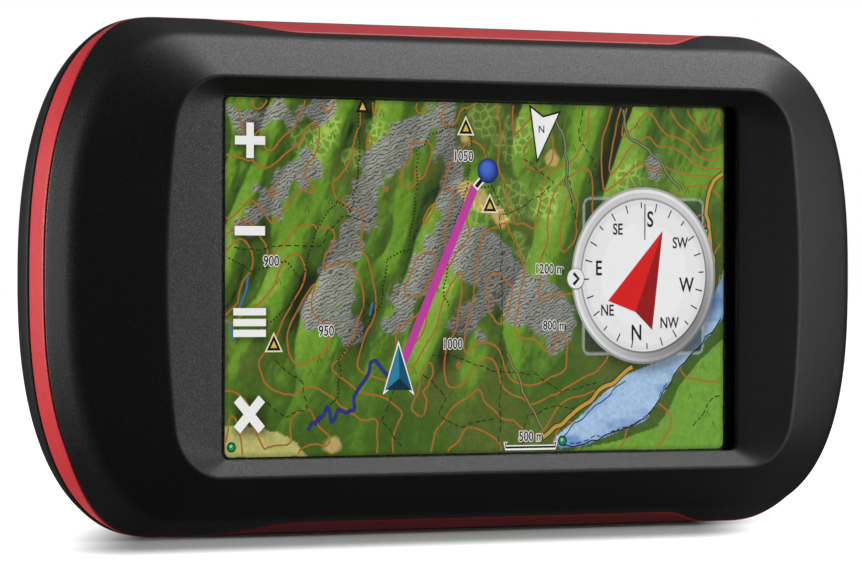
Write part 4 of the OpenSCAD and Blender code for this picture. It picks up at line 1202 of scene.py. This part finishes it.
for n_, m_, bev in (("battery_door", M_DOOR, 0.28), ("latch_disc", M_LATCH, 0.22), ("latch_cam", M_STEEL, 0.15), ("latch_screw", M_STEEL, 0.12),
                    ("power_key", M_KEY, 0.28), ("camera_bezel", M_BEZEL, 0.2), ("usb_cap", M_CAP, 0.26), ("audio_cap", M_CAP, 0.26),
                    ("antenna_cap", M_CAP, 0.24), ("contact_block", M_CONN, 0.18), ("battery_pack", M_BATT, 0.35), ("memory_card", M_CARD, 0.08),
                    ("case_screws", M_SCREW, 0.1)):
    cad_copy(n_, m_, bev, 3)
paint("camera_window", M_LENS)

# the carrying ring: one drawn wire bent to a D, and its hinge bar
RX, RDEP, RZ = 29.3, 34.6, 5.4
path = [(5.6, z) for z in np.linspace(RZ, -2.6, 7)] + [(5.6 * math.cos(a), -2.6 + 5.6 * math.sin(a)) for a in np.linspace(0, -math.pi, 37)[1:]] + [(-5.6, z) for z in np.linspace(-2.6, RZ, 7)[1:]]
path = np.array(path)
tang = np.gradient(path, axis=0)
tang /= np.linalg.norm(tang, axis=1)[:, None]
around = np.linspace(0, 2 * np.pi, 32, endpoint=False)
wire = []
for (px, pz), (tx, tz) in zip(path, tang):
    wire.append(np.stack([RX + px + 1.1 * np.cos(around) * tz, RDEP - YC + 1.1 * np.sin(around), HZ + pz - 1.1 * np.cos(around) * tx], 1))
ring_ob = cup(wire, "carrying_ring", M_RING, body=BODY_OF["d_ring"], smooth_angle=50)
bar_rings = []
for bx, br in ((-8.5, 0.7), (-8.4, 0.86), (-8.2, 0.95), (8.2, 0.95), (8.4, 0.86), (8.5, 0.7)):
    bar_rings.append(np.stack([np.full(32, RX + bx), RDEP - YC + br * np.cos(around), HZ + RZ + br * np.sin(around)], 1))
knuckles = []
for sx in (-5.6, 5.6):
    kn = []
    for lat in np.linspace(-1.45, 1.45, 13):
        kn.append(np.stack([RX + sx + 1.1 * math.cos(lat) * np.cos(around), RDEP - YC + 1.1 * math.cos(lat) * np.sin(around), np.full(32, HZ + RZ + 1.1 * math.sin(lat))], 1))
    knuckles.append(cup(kn, "tool", None, body=None))
carve(ring_ob, knuckles + [cup(bar_rings, "tool", None, body=None)], "UNION")
finish_mesh(ring_ob, 40)
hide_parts("d_ring")


# =====================================================================
# Floor, light and camera
# =====================================================================
fm, fnt, fp = material("floor_paper", (0.86, 0.86, 0.86), 0.9, spec=0.0)
# the paper glows by itself further out, so that it runs into a white background; around the object the glow is held off
# in a patch laid out along the camera's line of sight, so the dark patch there is partly a shadow cast by the lamps and
# partly a painted shadow
def fmath(op, a_, b_=None):
    nd = fnt.nodes.new("ShaderNodeMath")
    nd.operation = op
    for k_, v_ in enumerate((a_, b_)):
        if v_ is None:
            continue
        if isinstance(v_, (int, float)):
            nd.inputs[k_].default_value = v_
        else:
            fnt.links.new(v_, nd.inputs[k_])
    return nd.outputs[0]


fsep = fnt.nodes.new("ShaderNodeSeparateXYZ")
fnt.links.new(coords(fnt), fsep.inputs[0])
across = fmath("SUBTRACT", fmath("MULTIPLY", fsep.outputs[0], 0.835), fmath("MULTIPLY", fsep.outputs[1], 0.55))
fx = fmath("DIVIDE", fmath("MAXIMUM", fmath("SUBTRACT", fmath("ABSOLUTE", across), 38.0), 0.0), 17.0)
fy = fmath("DIVIDE", fmath("MAXIMUM", fmath("SUBTRACT", fmath("ABSOLUTE", fsep.outputs[1]), 28.0), 0.0), 34.0)
shadow_patch_reach = fmath("SQRT", fmath("ADD", fmath("MULTIPLY", fx, fx), fmath("MULTIPLY", fy, fy)))
# painted shadow: no glow in a patch around the object, rising to full white further out
soft = fnt.nodes.new("ShaderNodeMapRange")
soft.interpolation_type = "SMOOTHSTEP"
fnt.links.new(shadow_patch_reach, soft.inputs["Value"])
for k_, v_ in (("From Min", 0.12), ("From Max", 1.0), ("To Min", 0.0), ("To Max", 1.15)):
    soft.inputs[k_].default_value = v_
fnt.links.new(soft.outputs[0], fp.inputs["Emission Strength"])
fp.inputs["Emission Color"].default_value = (1, 1, 1, 1)
grainf = noise(fnt, coords(fnt), 0.5, 3.0)
fnt.links.new(ramp(fnt, grainf, [(0.3, (0.44, 0.44, 0.44)), (0.7, (0.48, 0.48, 0.48))]), fp.inputs["Base Color"])
def sheet_floor(name, loops, bounce):
    me_ = bpy.data.meshes.new(name)
    pts_ = [p for lp_ in loops for p in lp_]
    n_ = len(loops[0])
    fs = [list(range(n_))] if len(loops) == 1 else [[k, (k + 1) % n_, n_ + (k + 1) % n_, n_ + k] for k in range(n_)]
    me_.from_pydata(pts_, [], fs)
    ob_ = bpy.data.objects.new(name, me_)
    scene.collection.objects.link(ob_)
    me_.materials.append(fm)
    ob_.visible_glossy = False
    ob_.visible_diffuse = bounce
    return ob_


def round_loop(r, n_=64):
    return [(r * math.cos(2 * math.pi * k / n_), r * math.sin(2 * math.pi * k / n_), 0.0) for k in range(n_)]


floor = sheet_floor("floor", [round_loop(0.066)], True)
floor_far = sheet_floor("floor_far", [round_loop(0.066), round_loop(9.0)], False)

world = bpy.data.worlds.new("studio")
scene.world = world
world.use_nodes = True
wnt = world.node_tree
bg = wnt.nodes["Background"]
bg.inputs["Color"].default_value = (1, 1, 1, 1)
bg.inputs["Strength"].default_value = 0.05
wnt2 = wnt.nodes.new("ShaderNodeBackground")
wnt2.inputs["Color"].default_value = (1, 1, 1, 1)
wnt2.inputs["Strength"].default_value = 1.0
lp = wnt.nodes.new("ShaderNodeLightPath")
mx = wnt.nodes.new("ShaderNodeMixShader")
wnt.links.new(lp.outputs["Is Camera Ray"], mx.inputs["Fac"])
wnt.links.new(bg.outputs[0], mx.inputs[1])
wnt.links.new(wnt2.outputs[0], mx.inputs[2])
wnt.links.new(mx.outputs[0], wnt.nodes["World Output"].inputs["Surface"])


def panel(name, direction, distance, size_x, size_y, watts, color=(1, 1, 1), at=(0, 0, 0.0374)):
    """A soft box: it lies in that direction from the object and faces it."""
    li = bpy.data.lights.new(name, "AREA")
    li.shape = "RECTANGLE"
    li.size, li.size_y = size_x, size_y
    li.energy = watts
    li.color = color
    ob = bpy.data.objects.new(name, li)
    scene.collection.objects.link(ob)
    d = Vector(direction).normalized()
    ob.location = Vector(at) + d * distance
    ob.rotation_euler = (-d).to_track_quat("-Z", "Y").to_euler()
    return ob


# directions are (x, y, z), with -y towards the viewer's side
panel("key_top_right", (0.58, -0.17, 0.79), 0.9, 0.74, 0.56, 6.2)
panel("side_right", (0.80, -0.57, 0.06), 0.9, 0.42, 0.36, 2.0)
panel("side_left", (-0.95, 0.24, 0.06), 0.9, 0.46, 0.26, 7.8)

cam_data = bpy.data.cameras.new("camera")
cam = bpy.data.objects.new("camera", cam_data)
scene.collection.objects.link(cam)
scene.camera = cam
cam_data.sensor_width = 36.0
cam_data.lens = 222.0
cam_data.clip_start = 0.05
cam_data.clip_end = 60
TH, DIST = math.radians(34.092), 0.782997
crest_c = Vector((0, -0.0182, 0.0374))
cam.location = crest_c + Vector((-math.sin(TH), -math.cos(TH), 0)) * DIST
YAW, PITCH, ROLL = math.radians(33.394), math.radians(-0.067), math.radians(0.144)
fwd = Vector((math.sin(YAW) * math.cos(PITCH), math.cos(YAW) * math.cos(PITCH), math.sin(PITCH)))
q = fwd.to_track_quat("-Z", "Y")
cam.rotation_euler = (q.to_matrix() @ Matrix.Rotation(ROLL, 3, "Z")).to_euler()

scene.view_settings.view_transform = "Standard"
